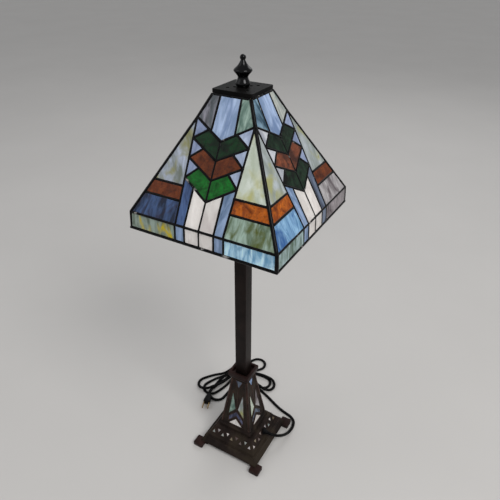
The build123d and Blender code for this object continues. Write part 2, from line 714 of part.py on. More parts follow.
with BuildPart() as foot_pads:
    with BuildSketch(Plane.XY):
        with GridLocations(2 * foot_middle, 2 * foot_middle, 2, 2):
            Circle(7.5)
    extrude(amount=FOOT_LOW)
foot_pads.part.label = "foot_pads"
export_step(foot_pads.part, "parts/foot_pads.step")

with BuildPart() as foot_screws:
    for radius, low, high in (
        (SCREW_HEAD_R, FOOT_LOW + 0.6, FOOT_LOW + 3),
        (SCREW_R - 0.05, FOOT_LOW + 3, PLATE_HIGH + BOSS_HEIGHT - 1.5),
    ):
        with BuildSketch(Plane.XY.offset(low)):
            with GridLocations(2 * SCREW_AT, 2 * SCREW_AT, 2, 2):
                Circle(radius)
        extrude(amount=high - low)
foot_screws.part.label = "foot_screws"
export_step(foot_screws.part, "parts/foot_screws.step")

with BuildPart() as bottom_plate:
    with BuildSketch(Plane.XY.offset(FASCIA_LOW[1])):
        RectangleRounded(127, 127, 4)
        with GridLocations(2 * SCREW_AT, 2 * SCREW_AT, 2, 2):
            Circle(SCREW_HOLE_R, mode=Mode.SUBTRACT)
    extrude(amount=PLATE_HIGH - FASCIA_LOW[1])
bottom_plate.part.label = "bottom_plate"
export_step(bottom_plate.part, "parts/bottom_plate.step")

WEIGHT_HALF, WEIGHT_HOLE_R, WEIGHT_HEIGHT = 50.0, 20.0, 9.0
with BuildPart() as weight:
    with BuildSketch(Plane.XY.offset(PLATE_HIGH)):
        RectangleRounded(2 * WEIGHT_HALF, 2 * WEIGHT_HALF, 6)
        Circle(WEIGHT_HOLE_R, mode=Mode.SUBTRACT)
    extrude(amount=WEIGHT_HEIGHT)
weight.part.label = "weight"
export_step(weight.part, "parts/weight.step")

# ---------------------------------------------------------------- night light inside the lantern
HOLDER_R, HOLDER_FLANGE_R, HOLDER_BORE, HOLDER_HIGH = 11.0, 14.0, 6.3, 46.0
CANDLE_R, CANDLE_LOW, CANDLE_NECK, CANDLE_TOP = 6.0, 31.0, 50.0, 88.0
with BuildPart() as night_socket:
    disc(HOLDER_FLANGE_R, PLATE_HIGH, PLATE_HIGH + 2.5)
    disc(HOLDER_R, PLATE_HIGH + 2.5, HOLDER_HIGH)
    disc(HOLDER_BORE, CANDLE_LOW - 1, HOLDER_HIGH, mode=Mode.SUBTRACT)
night_socket.part.label = "night_socket"
export_step(night_socket.part, "parts/night_socket.step")

with BuildPart() as night_bulb_base:
    disc(CANDLE_R, CANDLE_LOW, CANDLE_NECK)
night_bulb_base.part.label = "night_bulb_base"
export_step(night_bulb_base.part, "parts/night_bulb_base.step")

with BuildPart() as night_bulb_glass:
    with BuildSketch(Plane.XZ):
        with BuildLine():
            flame = Spline(
                (CANDLE_R - 0.4, CANDLE_NECK), (10.8, 66), (7, 80), (0, CANDLE_TOP),
                tangents=((0.5, 1), (-1, 0.25)),
            )
            Polyline(flame @ 1, (0, CANDLE_NECK), flame @ 0)
        make_face()
    revolve(axis=Axis.Z)
night_bulb_glass.part.label = "night_bulb_glass"
export_step(night_bulb_glass.part, "parts/night_bulb_glass.step")

# ---------------------------------------------------------------- cord, its bushing and its plug
# The flange lies in the recess of the sloping band; the neck and the tapered sleeve are level.
SLEEVE_REACH, NECK_REACH = 9.0, 11.0
with BuildPart() as cord_bushing:
    with BuildSketch(Plane(origin=cord_exit, z_dir=band_plane.z_dir).offset(-BAND_RECESS)):
        Circle(BUSHING_R + 1.4)
    extrude(amount=1.9)
    with BuildSketch(exit_plane.offset(-NECK_REACH)):
        Circle(BUSHING_R - 0.1)
    extrude(amount=NECK_REACH)
    for radius, level in ((4.9, 0), (3.9, SLEEVE_REACH)):
        with BuildSketch(exit_plane.offset(level)):
            Circle(radius)
    loft()
    with BuildSketch(exit_plane.offset(-NECK_REACH)):
        Circle(CORD_R + 0.1)
    extrude(amount=NECK_REACH + SLEEVE_REACH, mode=Mode.SUBTRACT)
cord_bushing.part.label = "cord_bushing"
export_step(cord_bushing.part, "parts/cord_bushing.step")


def cord_fillets(points):
    """Radius at each corner of a route: as large as its two runs allow."""
    radii = []
    for before, here, after in zip(points, points[1:], points[2:]):
        first, second = Vector(here) - Vector(before), Vector(after) - Vector(here)
        turn = radians(first.get_angle(second))
        radii.append(0.45 * min(first.length, second.length) / tan(turn / 2))
    return radii


def tube(name, points, radius):
    """A round cord along straight runs joined by arcs."""
    radii = cord_fillets(points)
    with BuildPart() as cord:
        with BuildLine() as route:
            FilletPolyline(points, radius=radii)
        with BuildSketch(Plane(origin=route.line @ 0, z_dir=route.line % 0)):
            Circle(radius)
        sweep(path=route.line)
    cord.part.label = name
    export_step(cord.part, f"parts/{name}.step")
    length = sum(edge.length for edge in route.edges())
    print(name, round(length), "mm long, bend radii", [round(r) for r in radii])


# Along the table: out of the bushing, round the back right foot, and into the hank behind the base.
LEAD_ROUTE = [
    (51.76, 2.0, 37.33),
    (65.6, 2.0, 37.33),
    (74.5, 5.5, 34.0),
    (81.5, 13.5, 28.2),
    (85.5, 24.0, 20.5),
    (87.8, 36.0, 12.5),
    (89.2, 48.0, 6.0),
    (89.8, 61.0, 3.2),
    (89.3, 74.5, 3.2),
    (83.5, 87.0, 3.2),
    (71.5, 94.0, 3.2),
    (57.0, 97.0, 3.2),
    (42.5, 100.5, 3.2),
    (28.0, 106.0, 3.2),
    (12.5, 113.0, 3.2),
    (-4.5, 120.5, 3.2),
    (-22.0, 127.0, 3.2),
    (-38.0, 133.0, 3.2),
]
tube("cord_lead", LEAD_ROUTE, CORD_R)

# Inside: from the bushing to the middle, up through the base nipple, the post and the socket nipple.
INNER_ROUTE = [
    (51.76, 2.0, 37.33),
    (33.5, 2.0, 37.33),
    (24.5, 2.6, 43.5),
    (21.0, 3.4, 55.0),
    (19.5, 4.0, 71.0),
    (17.0, 4.0, 92.0),
    (11.0, 2.0, 115.0),
    (4.0, 0.8, 139.0),
    (0.0, 0.0, 165.0),
    (0.0, 0.0, 604.0),
]
tube("inner_cord", INNER_ROUTE, CORD_R)

# The loose hank: loops that fan out both ways from a thick middle.
HANK_MIDDLE, HANK_MIDDLE_R, HANK_LEG_R = (-104.0, 158.0), 25.0, 21.0
HANK_LOOPS = ((-153.5, 80.0), (-113.0, 68.0), (-24.0, 151.0), (-75.0, 205.0))
LOOP_RADII, LOOP_HOLES = (24.0, 23.0, 23.0, 24.0), (10.0, 7.0, 12.0, 13.0)
LOOP_HEIGHT, MIDDLE_HEIGHT = 12.0, 17.0
with BuildPart() as cord_hank:
    for centre, radius in zip(HANK_LOOPS, LOOP_RADII):
        with BuildSketch(Plane.XY):
            with Locations(HANK_MIDDLE):
                Circle(HANK_LEG_R)
            with Locations(centre):
                Circle(radius)
            make_hull()
        extrude(amount=LOOP_HEIGHT)
    for centre, hole in zip(HANK_LOOPS, LOOP_HOLES):
        with BuildSketch(Plane.XY):
            with Locations(centre):
                Circle(hole)
        extrude(amount=LOOP_HEIGHT, mode=Mode.SUBTRACT)
    with BuildSketch(Plane.XY):
        with Locations(HANK_MIDDLE):
            Circle(HANK_MIDDLE_R)
    extrude(amount=MIDDLE_HEIGHT)
cord_hank.part.label = "cord_hank"
export_step(cord_hank.part, "parts/cord_hank.step")

# The plug lies on the table and its blades point away from the hank.
PLUG_AT, PLUG_WAY = (-127.0, 51.5, 7.0), radians(-70)
PLUG_LENGTH, BLADE_LENGTH, BLADE_PITCH = 26.0, 16.0, 12.7
PLUG_SECTIONS = ((7.0, 6.5, 0.0), (14.0, 11.0, 9.0), (17.0, 13.0, 22.0), (17.0, 13.0, PLUG_LENGTH))
plug_plane = Plane(
    origin=PLUG_AT,
    x_dir=(-sin(PLUG_WAY), cos(PLUG_WAY), 0),
    z_dir=(cos(PLUG_WAY), sin(PLUG_WAY), 0),
)
with BuildPart() as plug:
    for width, height, level in PLUG_SECTIONS:
        with BuildSketch(plug_plane.offset(level)):
            RectangleRounded(width, height, 2.4)
    loft(ruled=True)
plug.part.label = "plug"
export_step(plug.part, "parts/plug.step")

with BuildPart() as plug_blades:
    with BuildSketch(plug_plane.offset(PLUG_LENGTH)):
        with GridLocations(BLADE_PITCH, 1, 2, 1):
            Rectangle(1.5, 6.3)
    extrude(amount=BLADE_LENGTH)
plug_blades.part.label = "plug_blades"
export_step(plug_blades.part, "parts/plug_blades.step")
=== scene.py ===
"""A square stained glass table lamp: its cord, glass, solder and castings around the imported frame."""

import random
from math import ceil, cos, hypot, pi, radians, sin

import bmesh
import bpy
import numpy as np
from mathutils import Matrix, Vector, noise


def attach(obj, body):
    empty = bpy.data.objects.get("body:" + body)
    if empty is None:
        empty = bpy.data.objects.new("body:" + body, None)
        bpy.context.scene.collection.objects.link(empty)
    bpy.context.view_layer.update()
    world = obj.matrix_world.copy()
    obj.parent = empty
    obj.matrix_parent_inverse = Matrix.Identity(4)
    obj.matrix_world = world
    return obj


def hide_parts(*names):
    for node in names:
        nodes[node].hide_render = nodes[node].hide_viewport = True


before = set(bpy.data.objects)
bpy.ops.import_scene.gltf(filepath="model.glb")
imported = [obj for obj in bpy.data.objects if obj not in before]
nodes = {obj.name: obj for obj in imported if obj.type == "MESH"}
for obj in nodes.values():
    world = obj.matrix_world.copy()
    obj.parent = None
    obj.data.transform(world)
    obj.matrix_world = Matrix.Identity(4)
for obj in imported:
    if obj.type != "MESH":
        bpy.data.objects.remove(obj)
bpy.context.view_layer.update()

MM = 0.001
SIDES = 4

# -------------------- camera
camera = bpy.data.objects.new("camera", bpy.data.cameras.new("camera"))
camera.data.lens, camera.data.sensor_width = 36.14, 36.0
camera.data.clip_end = 60.0
camera.matrix_world = (
    Matrix.Translation((0.3789, -0.6452, 0.9501))
    @ Matrix.Rotation(radians(29.515), 4, "Z")
    @ Matrix.Rotation(radians(90 - 31.734), 4, "X")
    @ Matrix.Rotation(radians(0.396), 4, "Z")
)
bpy.context.scene.collection.objects.link(camera)
bpy.context.scene.camera = camera


# -------------------- building blocks
class Shell:
    """Points and faces of one piece as they are gathered, with values for its material at each point."""

    def __init__(self):
        self.points, self.faces, self.values = [], [], {}

    def add(self, points, faces, **values):
        first = len(self.points)
        self.points += [Vector(p) for p in points]
        self.faces += [[first + i for i in face] for face in faces]
        for name, value in values.items():
            each = value if isinstance(value, list) else [value] * len(points)
            self.values.setdefault(name, []).extend(each)

    def rings(self, rings, closed=False, **values):
        """Skin a run of rings with equal numbers of points. The ends are filled unless it is closed."""
        count, last = len(rings[0]), len(rings)
        faces = []
        for i in range(last if closed else last - 1):
            for j in range(count):
                k = (j + 1) % count
                here, there = i * count, (i + 1) % last * count
                faces.append([here + j, here + k, there + k, there + j])
        if not closed:
            faces.append(list(range(count))[::-1])
            faces.append([(last - 1) * count + j for j in range(count)])
        self.add([p for ring in rings for p in ring], faces, **values)

    def piece(self, name, body, slot, material, replaces=(), smooth=True):
        """The mesh of what was gathered, as a finished piece."""
        mesh = bpy.data.meshes.new(name)
        mesh.from_pydata(self.points, [], self.faces)
        for key, column in self.values.items():
            kind = "FLOAT_COLOR" if len(column[0]) == 4 else "FLOAT_VECTOR"
            attribute = mesh.attributes.new(key, kind, "POINT")
            field = "color" if kind == "FLOAT_COLOR" else "vector"
            attribute.data.foreach_set(field, [x for value in column for x in value])
        return finished(mesh, name, body, material, replaces, smooth)


def finished(mesh, name, body, material, replaces=(), smooth=True, sharp=50):
    """Turn a mesh into a piece that rides on a body: faces outwards, smooth but for its sharp edges."""
    shape = bmesh.new()
    shape.from_mesh(mesh)
    bmesh.ops.recalc_face_normals(shape, faces=shape.faces)
    for face in shape.faces:
        face.smooth = smooth
    for edge in shape.edges:
        edge.smooth = edge.calc_face_angle(0) < radians(sharp)
    shape.to_mesh(mesh)
    shape.free()
    piece = bpy.data.objects.new(name, mesh)
    bpy.context.scene.collection.objects.link(piece)
    for part in material if isinstance(material, (list, tuple)) else [material]:
        mesh.materials.append(part)
    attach(piece, body)
    if replaces:
        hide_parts(*replaces)
    return piece


def around(count):
    """Evenly spaced angles of one full turn."""
    return [2 * pi * j / count for j in range(count)]


def uneven(point, size, amount, seed=0.0):
    """A smooth random value between about -amount and amount that changes over the given size."""
    return amount * noise.noise(Vector(point) / size + Vector((seed, seed * 1.7, seed * 0.3)))


END_TUCK, END_REACH = 0.55, 0.42  # how far a bar's end closes in, and how far it stands out in half widths


def bead(shell, start, end, out, width, height, seed=0.0, sides=10, step=7 * MM):
    """A rounded bar of solder: an uneven oval section with rounded ends, its short way along out."""
    start, end = Vector(start), Vector(end)
    along = (end - start).normalized()
    across = along.cross(out).normalized()
    rise = across.cross(along)
    count = max(3, ceil((end - start).length / step) + 1)
    rings = []
    for i in range(count):
        centre = start.lerp(end, i / (count - 1))
        wide = 0.5 * width * (1 + uneven(centre, 9 * MM, 0.16, seed))
        high = 0.5 * height * (1 - abs(uneven(centre, 14 * MM, 0.12, seed + 5)))
        sections = [(1.0, 0.0)]
        if i == 0:
            sections.insert(0, (END_TUCK, -END_REACH))
        if i == count - 1:
            sections.append((END_TUCK, END_REACH))
        for tuck, shift in sections:
            moved = centre + along * shift * width * 0.5
            rings.append([
                moved + across * wide * tuck * cos(a) + rise * high * tuck * sin(a) for a in around(sides)
            ])
    shell.rings(rings)


def blob(shell, centre, out, radius, height, sides=12, seed=0.0):
    """A low rounded drop of solder over a joint."""
    out = Vector(out).normalized()
    side = out.orthogonal().normalized()
    other = out.cross(side)
    rings = []
    for k in range(1, 7):
        tilt = pi * k / 7
        wide = radius * sin(tilt) * (1 + uneven(centre, 5 * MM, 0.1, seed))
        rings.append([
            Vector(centre) + out * height * 0.5 * cos(tilt) + wide * (side * cos(a) + other * sin(a))
            for a in around(sides)
        ])
    shell.rings(rings)


# -------------------- materials
def shader(name, metallic=0.0, roughness=0.5, gloss=None):
    """A new material with its Principled shader's plain values set."""
    material = bpy.data.materials.new(name)
    material.use_nodes = True
    tree = material.node_tree
    principled = tree.nodes["Principled BSDF"]
    principled.inputs["Metallic"].default_value = metallic
    principled.inputs["Roughness"].default_value = roughness
    if gloss is not None:
        principled.inputs["Specular IOR Level"].default_value = gloss
    return material, tree, principled


def add(tree, kind, inputs=None, **settings):
    """Add a node, set its settings, and give each input a value or link it to a socket."""
    node = tree.nodes.new("ShaderNode" + kind)
    for key, value in settings.items():
        setattr(node, key, value)
    for key, value in (inputs or {}).items():
        if isinstance(value, bpy.types.NodeSocket):
            tree.links.new(value, node.inputs[key])
        else:
            node.inputs[key].default_value = value
    return node


def object_coords(tree):
    return add(tree, "TexCoord").outputs["Object"]


def ramp(tree, factor, *stops):
    """A colour ramp with (position, colour or grey) stops."""
    node = add(tree, "ValToRGB", {"Fac": factor})
    elements = node.color_ramp.elements
    while len(elements) < len(stops):
        elements.new(0.5)
    for element, (position, colour) in zip(elements, stops):
        element.position = position
        element.color = (colour, colour, colour, 1) if isinstance(colour, float) else (*colour, 1)
    return node.outputs["Color"]


def noise_at(tree, coords, scale, detail=4.0, rough=0.55, distort=0.0):
    return add(
        tree,
        "TexNoise",
        {"Vector": coords, "Scale": scale, "Detail": detail, "Roughness": rough, "Distortion": distort},
    ).outputs["Fac"]


def mixed(tree, factor, first, second):
    """Blend two colours, each a value or a socket, by a factor."""
    node = add(tree, "Mix", data_type="RGBA", blend_type="MIX")
    for socket, value in ((node.inputs[0], factor), (node.inputs[6], first), (node.inputs[7], second)):
        if isinstance(value, bpy.types.NodeSocket):
            tree.links.new(value, socket)
        else:
            socket.default_value = value if isinstance(value, float) else (*value, 1)
    return node.outputs[2]


def bumped(tree, principled, height, distance, strength=1.0):
    bump = add(tree, "Bump", {"Height": height, "Distance": distance, "Strength": strength})
    tree.links.new(bump.outputs["Normal"], principled.inputs["Normal"])


def between(tree, factor, low, high):
    """Map a factor of 0 to 1 onto another range."""
    return add(tree, "MapRange", {"Value": factor, "To Min": low, "To Max": high}).outputs["Result"]


def linear(red, green, blue, gain):
    """A colour given in display values of 0 to 255, in the renderer's own linear values."""
    shares = (c / 255 for c in (red, green, blue))
    return tuple(gain * (c / 12.92 if c < 0.0404 else ((c + 0.055) / 1.055) ** 2.4) for c in shares)


def metal_paint(name, dark, light, worn, metallic, rough, wear, gloss=0.12, patch=None):
    """Patinated metal: clouded colour, worn spots, a fine uneven surface and wide patches of another tone."""
    material, tree, principled = shader(name, metallic=metallic, gloss=gloss)
    coords = object_coords(tree)
    clouds = noise_at(tree, coords, 38.0, 6.0, 0.6)
    base = mixed(tree, ramp(tree, clouds, (0.32, 0.0), (0.7, 1.0)), dark, light)
    if patch:
        areas = noise_at(tree, coords, 24.0, 3.0, 0.5, 0.8)
        base = mixed(tree, ramp(tree, areas, (0.46, 0.0), (0.62, 0.85)), base, patch)
    rub = noise_at(tree, coords, 160.0, 5.0, 0.7, 0.6)
    colour = mixed(tree, ramp(tree, rub, (0.62 - wear, 0.0), (0.78 - wear, 1.0)), base, worn)
    tree.links.new(colour, principled.inputs["Base Color"])
    grain = noise_at(tree, coords, 900.0, 3.0, 0.6)
    tree.links.new(between(tree, rub, rough[0], rough[1]), principled.inputs["Roughness"])
    bumped(tree, principled, mixed(tree, 0.35, grain, clouds), 0.0004, 0.35)
    return material


def glass_sheet(name, roughness, streaks, mottle=0.0, detail=4.0):
    """Art glass: each pane's own three colours run through one another in wisps along its own way."""
    material, tree, principled = shader(name, roughness=roughness, gloss=0.16)
    flow = add(tree, "Attribute", attribute_name="flow").outputs["Vector"]
    names = ("tint", "streak", "cloud")
    tint, streak, cloud = (add(tree, "Attribute", attribute_name=name).outputs["Color"] for name in names)
    wide, narrow = streaks
    run = add(tree, "Mapping", {"Vector": flow, "Scale": (wide, narrow, 1.0)}).outputs["Vector"]
    wisps = noise_at(tree, run, 1.0, detail, 0.55, 1.1)
    placing = {"Vector": flow, "Location": (7.3, 2.1, 4.7), "Scale": (wide * 0.7, narrow * 1.3, 1.0)}
    drift = add(tree, "Mapping", placing).outputs["Vector"]
    clouds = noise_at(tree, drift, 1.0, detail, 0.5, 0.8)
    colour = mixed(tree, ramp(tree, wisps, (0.38, 0.0), (0.64, 1.0)), tint, streak)
    colour = mixed(tree, ramp(tree, clouds, (0.48, 0.0), (0.68, 1.0)), colour, cloud)
    if mottle:
        spots = noise_at(tree, flow, 0.3, 3.0, 0.6)
        dark = mixed(tree, mottle, colour, (0.02, 0.012, 0.01))
        colour = mixed(tree, ramp(tree, spots, (0.3, 1.0), (0.5, 0.0)), colour, dark)
    tree.links.new(colour, principled.inputs["Base Color"])
    ripple = noise_at(tree, flow, 0.11, 2.0, 0.5, 0.6)
    bumped(tree, principled, ripple, 0.0016, 0.5)
    glow = add(tree, "BsdfTranslucent", {"Color": colour})
    both = add(tree, "MixShader", {0: 0.28, 1: principled.outputs["BSDF"], 2: glow.outputs["BSDF"]})
    tree.links.new(both.outputs["Shader"], tree.nodes["Material Output"].inputs["Surface"])
    return material


def solder_metal():
    """Black patina with a few bright spots: tin rubbed bare, which also stand in as painted highlights."""
    material, tree, principled = shader("solder_patina", metallic=0.5, gloss=0.14)
    coords = object_coords(tree)
    clouds = noise_at(tree, coords, 120.0, 5.0, 0.6)
    dark, light = (0.0025, 0.0025, 0.003), (0.009, 0.009, 0.0095)
    colour = mixed(tree, ramp(tree, clouds, (0.35, 0.0), (0.75, 1.0)), dark, light)
    # Bright spots at random: rubbed tin and painted glints in one.
    rubbed_and_glint = noise_at(tree, coords, 55.0, 3.0, 0.5)
    colour = mixed(tree, ramp(tree, rubbed_and_glint, (0.67, 0.0), (0.74, 1.0)), colour, (0.32, 0.31, 0.3))
    tree.links.new(colour, principled.inputs["Base Color"])
    tree.links.new(between(tree, clouds, 0.22, 0.42), principled.inputs["Roughness"])
    bumped(tree, principled, noise_at(tree, coords, 420.0, 2.0), 0.0003, 0.4)
    return material


def vinyl(name, colour, roughness, grain=1500.0, gloss=0.5):
    """Plastic or card with a faint soil on it."""
    material, tree, principled = shader(name, roughness=roughness, gloss=gloss)
    coords = object_coords(tree)
    soil = noise_at(tree, coords, 60.0, 4.0)
    soiled = mixed(tree, ramp(tree, soil, (0.4, 0.0), (0.8, 1.0)), colour, tuple(2.2 * c for c in colour))
    tree.links.new(soiled, principled.inputs["Base Color"])
    tree.links.new(between(tree, soil, roughness - 0.07, roughness + 0.12), principled.inputs["Roughness"])
    bumped(tree, principled, noise_at(tree, coords, grain, 2.0), 0.0001, 0.3)
    return material


def turned_metal(name, colour, roughness):
    """Bare metal with fine lathe lines along its height and a little tarnish."""
    material, tree, principled = shader(name, metallic=1.0)
    coords = object_coords(tree)
    tarnish = noise_at(tree, coords, 140.0, 5.0, 0.65)
    dull = tuple(0.55 * c for c in colour)
    tarnished = mixed(tree, ramp(tree, tarnish, (0.4, 0.0), (0.75, 1.0)), colour, dull)
    tree.links.new(tarnished, principled.inputs["Base Color"])
    tree.links.new(between(tree, tarnish, roughness, roughness + 0.18), principled.inputs["Roughness"])
    lines = add(tree, "Mapping", {"Vector": coords, "Scale": (40.0, 40.0, 2600.0)}).outputs["Vector"]
    bumped(tree, principled, noise_at(tree, lines, 1.0, 2.0), 0.0001, 0.25)
    return material


def opal_bulb():
    """Frosted bulb glass, a little soft inside."""
    material, tree, principled = shader("frosted_bulb", roughness=0.32)
    coords = object_coords(tree)
    haze = noise_at(tree, coords, 30.0, 2.0)
    tree.links.new(mixed(tree, haze, (0.86, 0.85, 0.82), (0.93, 0.92, 0.9)), principled.inputs["Base Color"])
    principled.inputs["Subsurface Weight"].default_value = 0.25
    principled.inputs["Subsurface Radius"].default_value = (0.01, 0.01, 0.009)
    bumped(tree, principled, noise_at(tree, coords, 1400.0, 2.0), 0.0001, 0.2)
    return material


def felt_cloth():
    """Dark felt for the pads under the feet."""
    material, tree, principled = shader("felt", roughness=0.95)
    coords = object_coords(tree)
    fibres = noise_at(tree, coords, 900.0, 6.0, 0.8)
    colour = mixed(tree, fibres, (0.015, 0.015, 0.016), (0.07, 0.07, 0.068))
    tree.links.new(colour, principled.inputs["Base Color"])
    principled.inputs["Sheen Weight"].default_value = 0.4
    bumped(tree, principled, fibres, 0.0006, 0.8)
    return material


bronze = metal_paint(
    "bronze_patina", (0.007, 0.0055, 0.0045), (0.028, 0.018, 0.0152), (0.07, 0.042, 0.03),
    0.3, (0.4, 0.6), 0.0, patch=(0.036, 0.027, 0.0185),
)
bronze_worn = metal_paint(
    "bronze_edges", (0.016, 0.009, 0.0075), (0.05, 0.026, 0.021), (0.14, 0.082, 0.062),
    0.4, (0.34, 0.5), 0.08, 0.2,
)
bronze_red = metal_paint(
    "bronze_red", (0.011, 0.0055, 0.005), (0.033, 0.0155, 0.0135), (0.08, 0.042, 0.035),
    0.3, (0.38, 0.55), 0.01,
)
cap_metal = metal_paint(
    "cap_patina", (0.002, 0.002, 0.002), (0.006, 0.0055, 0.0055), (0.03, 0.027, 0.026),
    0.1, (0.36, 0.52), -0.03, 0.05,
)
post_paint = metal_paint(
    "post_patina", (0.006, 0.004, 0.0036), (0.017, 0.0105, 0.0092), (0.03, 0.019, 0.016),
    0.3, (0.42, 0.55), -0.06,
)
gunmetal = metal_paint(
    "gunmetal_gloss", (0.009, 0.009, 0.0095), (0.02, 0.02, 0.021), (0.05, 0.046, 0.045),
    0.9, (0.09, 0.18), -0.05, 0.4,
)
solder = solder_metal()
brass = turned_metal("antique_brass", (0.45, 0.31, 0.13), 0.26)
steel = turned_metal("zinc_steel", (0.5, 0.5, 0.51), 0.3)
iron = metal_paint(
    "cast_iron", (0.03, 0.03, 0.031), (0.07, 0.068, 0.066), (0.12, 0.07, 0.045),
    0.5, (0.55, 0.8), 0.02, 0.3,
)
black_plastic = vinyl("moulded_plastic", (0.003, 0.003, 0.0033), 0.4, gloss=0.1)
cord_vinyl = vinyl("cord_vinyl", (0.0015, 0.0015, 0.0017), 0.32, 2400.0, 0.06)
card = vinyl("fibre_liner", (0.16, 0.12, 0.08), 0.85, 900.0)
felt = felt_cloth()
frosted = opal_bulb()
opal = glass_sheet("opal_glass", 0.16, (0.055, 0.016))
wispy = glass_sheet("wispy_glass", 0.13, (0.085, 0.02))
cathedral = glass_sheet("streaky_glass", 0.12, (0.11, 0.016))
mottled = glass_sheet("mottled_glass", 0.15, (0.06, 0.04), 0.5)
clouded = glass_sheet("clouded_glass", 0.13, (0.05, 0.02), detail=3.0)

# -------------------- cord
CORD_WIDTH, CORD_THICK = 0.0064, 0.0048
ON_TABLE = 0.0025

LEAD_ROUTE = [
    (0.05176, 0.002, 0.03733),
    (0.0656, 0.002, 0.03733),
    (0.0745, 0.0055, 0.034),
    (0.0815, 0.0135, 0.0282),
    (0.0855, 0.024, 0.0205),
    (0.0878, 0.036, 0.0125),
    (0.0892, 0.048, 0.006),
    (0.0898, 0.061, ON_TABLE),
    (0.0893, 0.0745, ON_TABLE),
    (0.0835, 0.087, ON_TABLE),
    (0.0715, 0.094, ON_TABLE),
    (0.057, 0.097, ON_TABLE),
    (0.0425, 0.1005, ON_TABLE),
    (0.028, 0.106, ON_TABLE),
    (0.0125, 0.113, ON_TABLE),
    (-0.0045, 0.1205, ON_TABLE),
    (-0.022, 0.127, ON_TABLE),
    (-0.038, 0.133, ON_TABLE),
]
HANK_MIDDLE = Vector((-0.104, 0.158))
TIE_TURN = radians(33)
TIE_WAY, TIE_SIDE = Vector((cos(TIE_TURN), sin(TIE_TURN))), Vector((-sin(TIE_TURN), cos(TIE_TURN)))
# The next five values were not chosen by hand: they were tuned by a search for length and open folds.
THROAT, FIRST_CROSSING = 0.010, -0.0077
# Loops in the order they were folded: (end's centre, radius, side it goes out on, how far off the middle
# it crosses).
HANK_LOOPS = [
    ((-0.1355, 0.0761), 0.0195, 1, 0.0021),
    ((-0.034, 0.1535), 0.019, -1, 0.0104),
    ((-0.1125, 0.0665), 0.0195, -1, -0.0066),
    ((-0.0227, 0.1522), 0.0199, 1, -0.0104),
    ((-0.1537, 0.0808), 0.0205, 1, 0.0104),
    ((-0.0755, 0.2034), 0.019, -1, 0.0021),
]
TO_HANK = [(-0.0579, 0.1342), (-0.0708, 0.1479)]
TO_PLUG = [(-0.1209, 0.1303), (-0.1312, 0.1067), (-0.1313, 0.0766), (-0.1305, 0.064)]
PLUG_END = Vector((-0.127, 0.0515, 0.007))


def throat(before, after, shift):
    """Two points that take a stretch through the tied middle, in line with its two neighbours."""
    middle = HANK_MIDDLE + TIE_SIDE * shift
    way = (after - before).normalized()
    return [middle - way * THROAT, middle + way * THROAT]


def loop_points(centre, radius, side):
    """Out from the middle, round the loop's end and back. The fold's points are evenly spaced."""
    end = Vector(centre)
    reach = (end - HANK_MIDDLE).length
    along = (end - HANK_MIDDLE).normalized()
    across = Vector((-along.y, along.x)) * side
    legs = [(0.38, 0.52), (0.66, 0.9)]
    out = [HANK_MIDDLE + along * reach * far + across * radius * wide for far, wide in legs]
    back = [HANK_MIDDLE + along * reach * far - across * radius * wide for far, wide in reversed(legs)]
    fold = [radians(a) for a in (112, 68, 23, -23, -68, -112)]
    return out + [end + 1.07 * radius * (along * cos(a) + across * sin(a)) for a in fold] + back


SPAN_STEPS = 16
HALF_SPAN = SPAN_STEPS // 2


def spans(points):
    """Points along the smooth line that control points give, with the middle of each span at a whole step."""
    points = np.array(points, float)
    starts = np.vstack([points[:1], (points[1:-2] + points[2:-1]) / 2])
    ends = np.vstack([starts[1:], points[-1:]])
    t = np.linspace(0, 1, SPAN_STEPS, endpoint=False)[None, :, None]
    curve = (1 - t) ** 2 * starts[:, None] + 2 * t * (1 - t) * points[1:-1, None] + t**2 * ends[:, None]
    return np.vstack([curve.reshape(-1, points.shape[1]), points[-1:]])


def laid_down(plan, first_level):
    """Heights for control points, so that each stretch lies on the table or on those laid before it."""
    line = spans(plan)
    count = len(line)
    apart = np.linalg.norm(line[:, None] - line[None], axis=2)
    length = np.concatenate([[0], np.cumsum(np.linalg.norm(np.diff(line, axis=0), axis=1))])
    gap = length[:, None] - length[None]
    rise = 1.04 * CORD_THICK * np.sqrt(np.clip(1 - (apart / (1.02 * CORD_WIDTH)) ** 2, 0, 1))
    under = (rise > 0) & (gap > 4 * CORD_WIDTH)
    soft = np.exp(-((gap / 0.009) ** 2))
    soft /= soft.sum(1, keepdims=True)
    near = np.abs(gap) < 0.007
    level = np.full(count, first_level)
    for _ in range(14):
        need = np.maximum(np.where(under, level[None] + rise, 0).max(1), first_level)
        level = soft @ np.where(near, need[None], 0).max(1)
    heights = np.interp(np.arange(len(plan) - 2) * SPAN_STEPS + HALF_SPAN, np.arange(count), level)
    heights = np.concatenate([[first_level], heights, [level[-1]]])
    wanted = level[HALF_SPAN::SPAN_STEPS]
    for _ in range(12):
        short = wanted - spans(heights[:, None])[HALF_SPAN::SPAN_STEPS, 0]
        heights[1:-1] = np.maximum(heights[1:-1] + 0.7 * short, first_level)
    return heights


def hank_plan():
    """Control points across the table from the end of the lead, through every loop, to the plug."""
    stretches = [[Vector(LEAD_ROUTE[-1][:2])] + [Vector(p) for p in TO_HANK]]
    stretches += [loop_points(centre, radius, side) for centre, radius, side, _ in HANK_LOOPS]
    stretches.append([Vector(p) for p in TO_PLUG] + [PLUG_END.xy])
    shifts = [FIRST_CROSSING] + [shift for _, _, _, shift in HANK_LOOPS]
    plan = list(stretches[0])
    for before, after, shift in zip(stretches, stretches[1:], shifts):
        plan += throat(before[-1], after[0], shift) + after
    return plan


def smooth_line(points):
    """A NURBS curve with these control points."""
    curve = bpy.data.curves.new("route", "CURVE")
    curve.dimensions = "3D"
    spline = curve.splines.new("NURBS")
    spline.points.add(len(points) - 1)
    for point, place in zip(spline.points, points):
        point.co = (*place, 1)
    spline.order_u = 3
    spline.use_endpoint_u = True
    curve.resolution_u = 10
    return curve


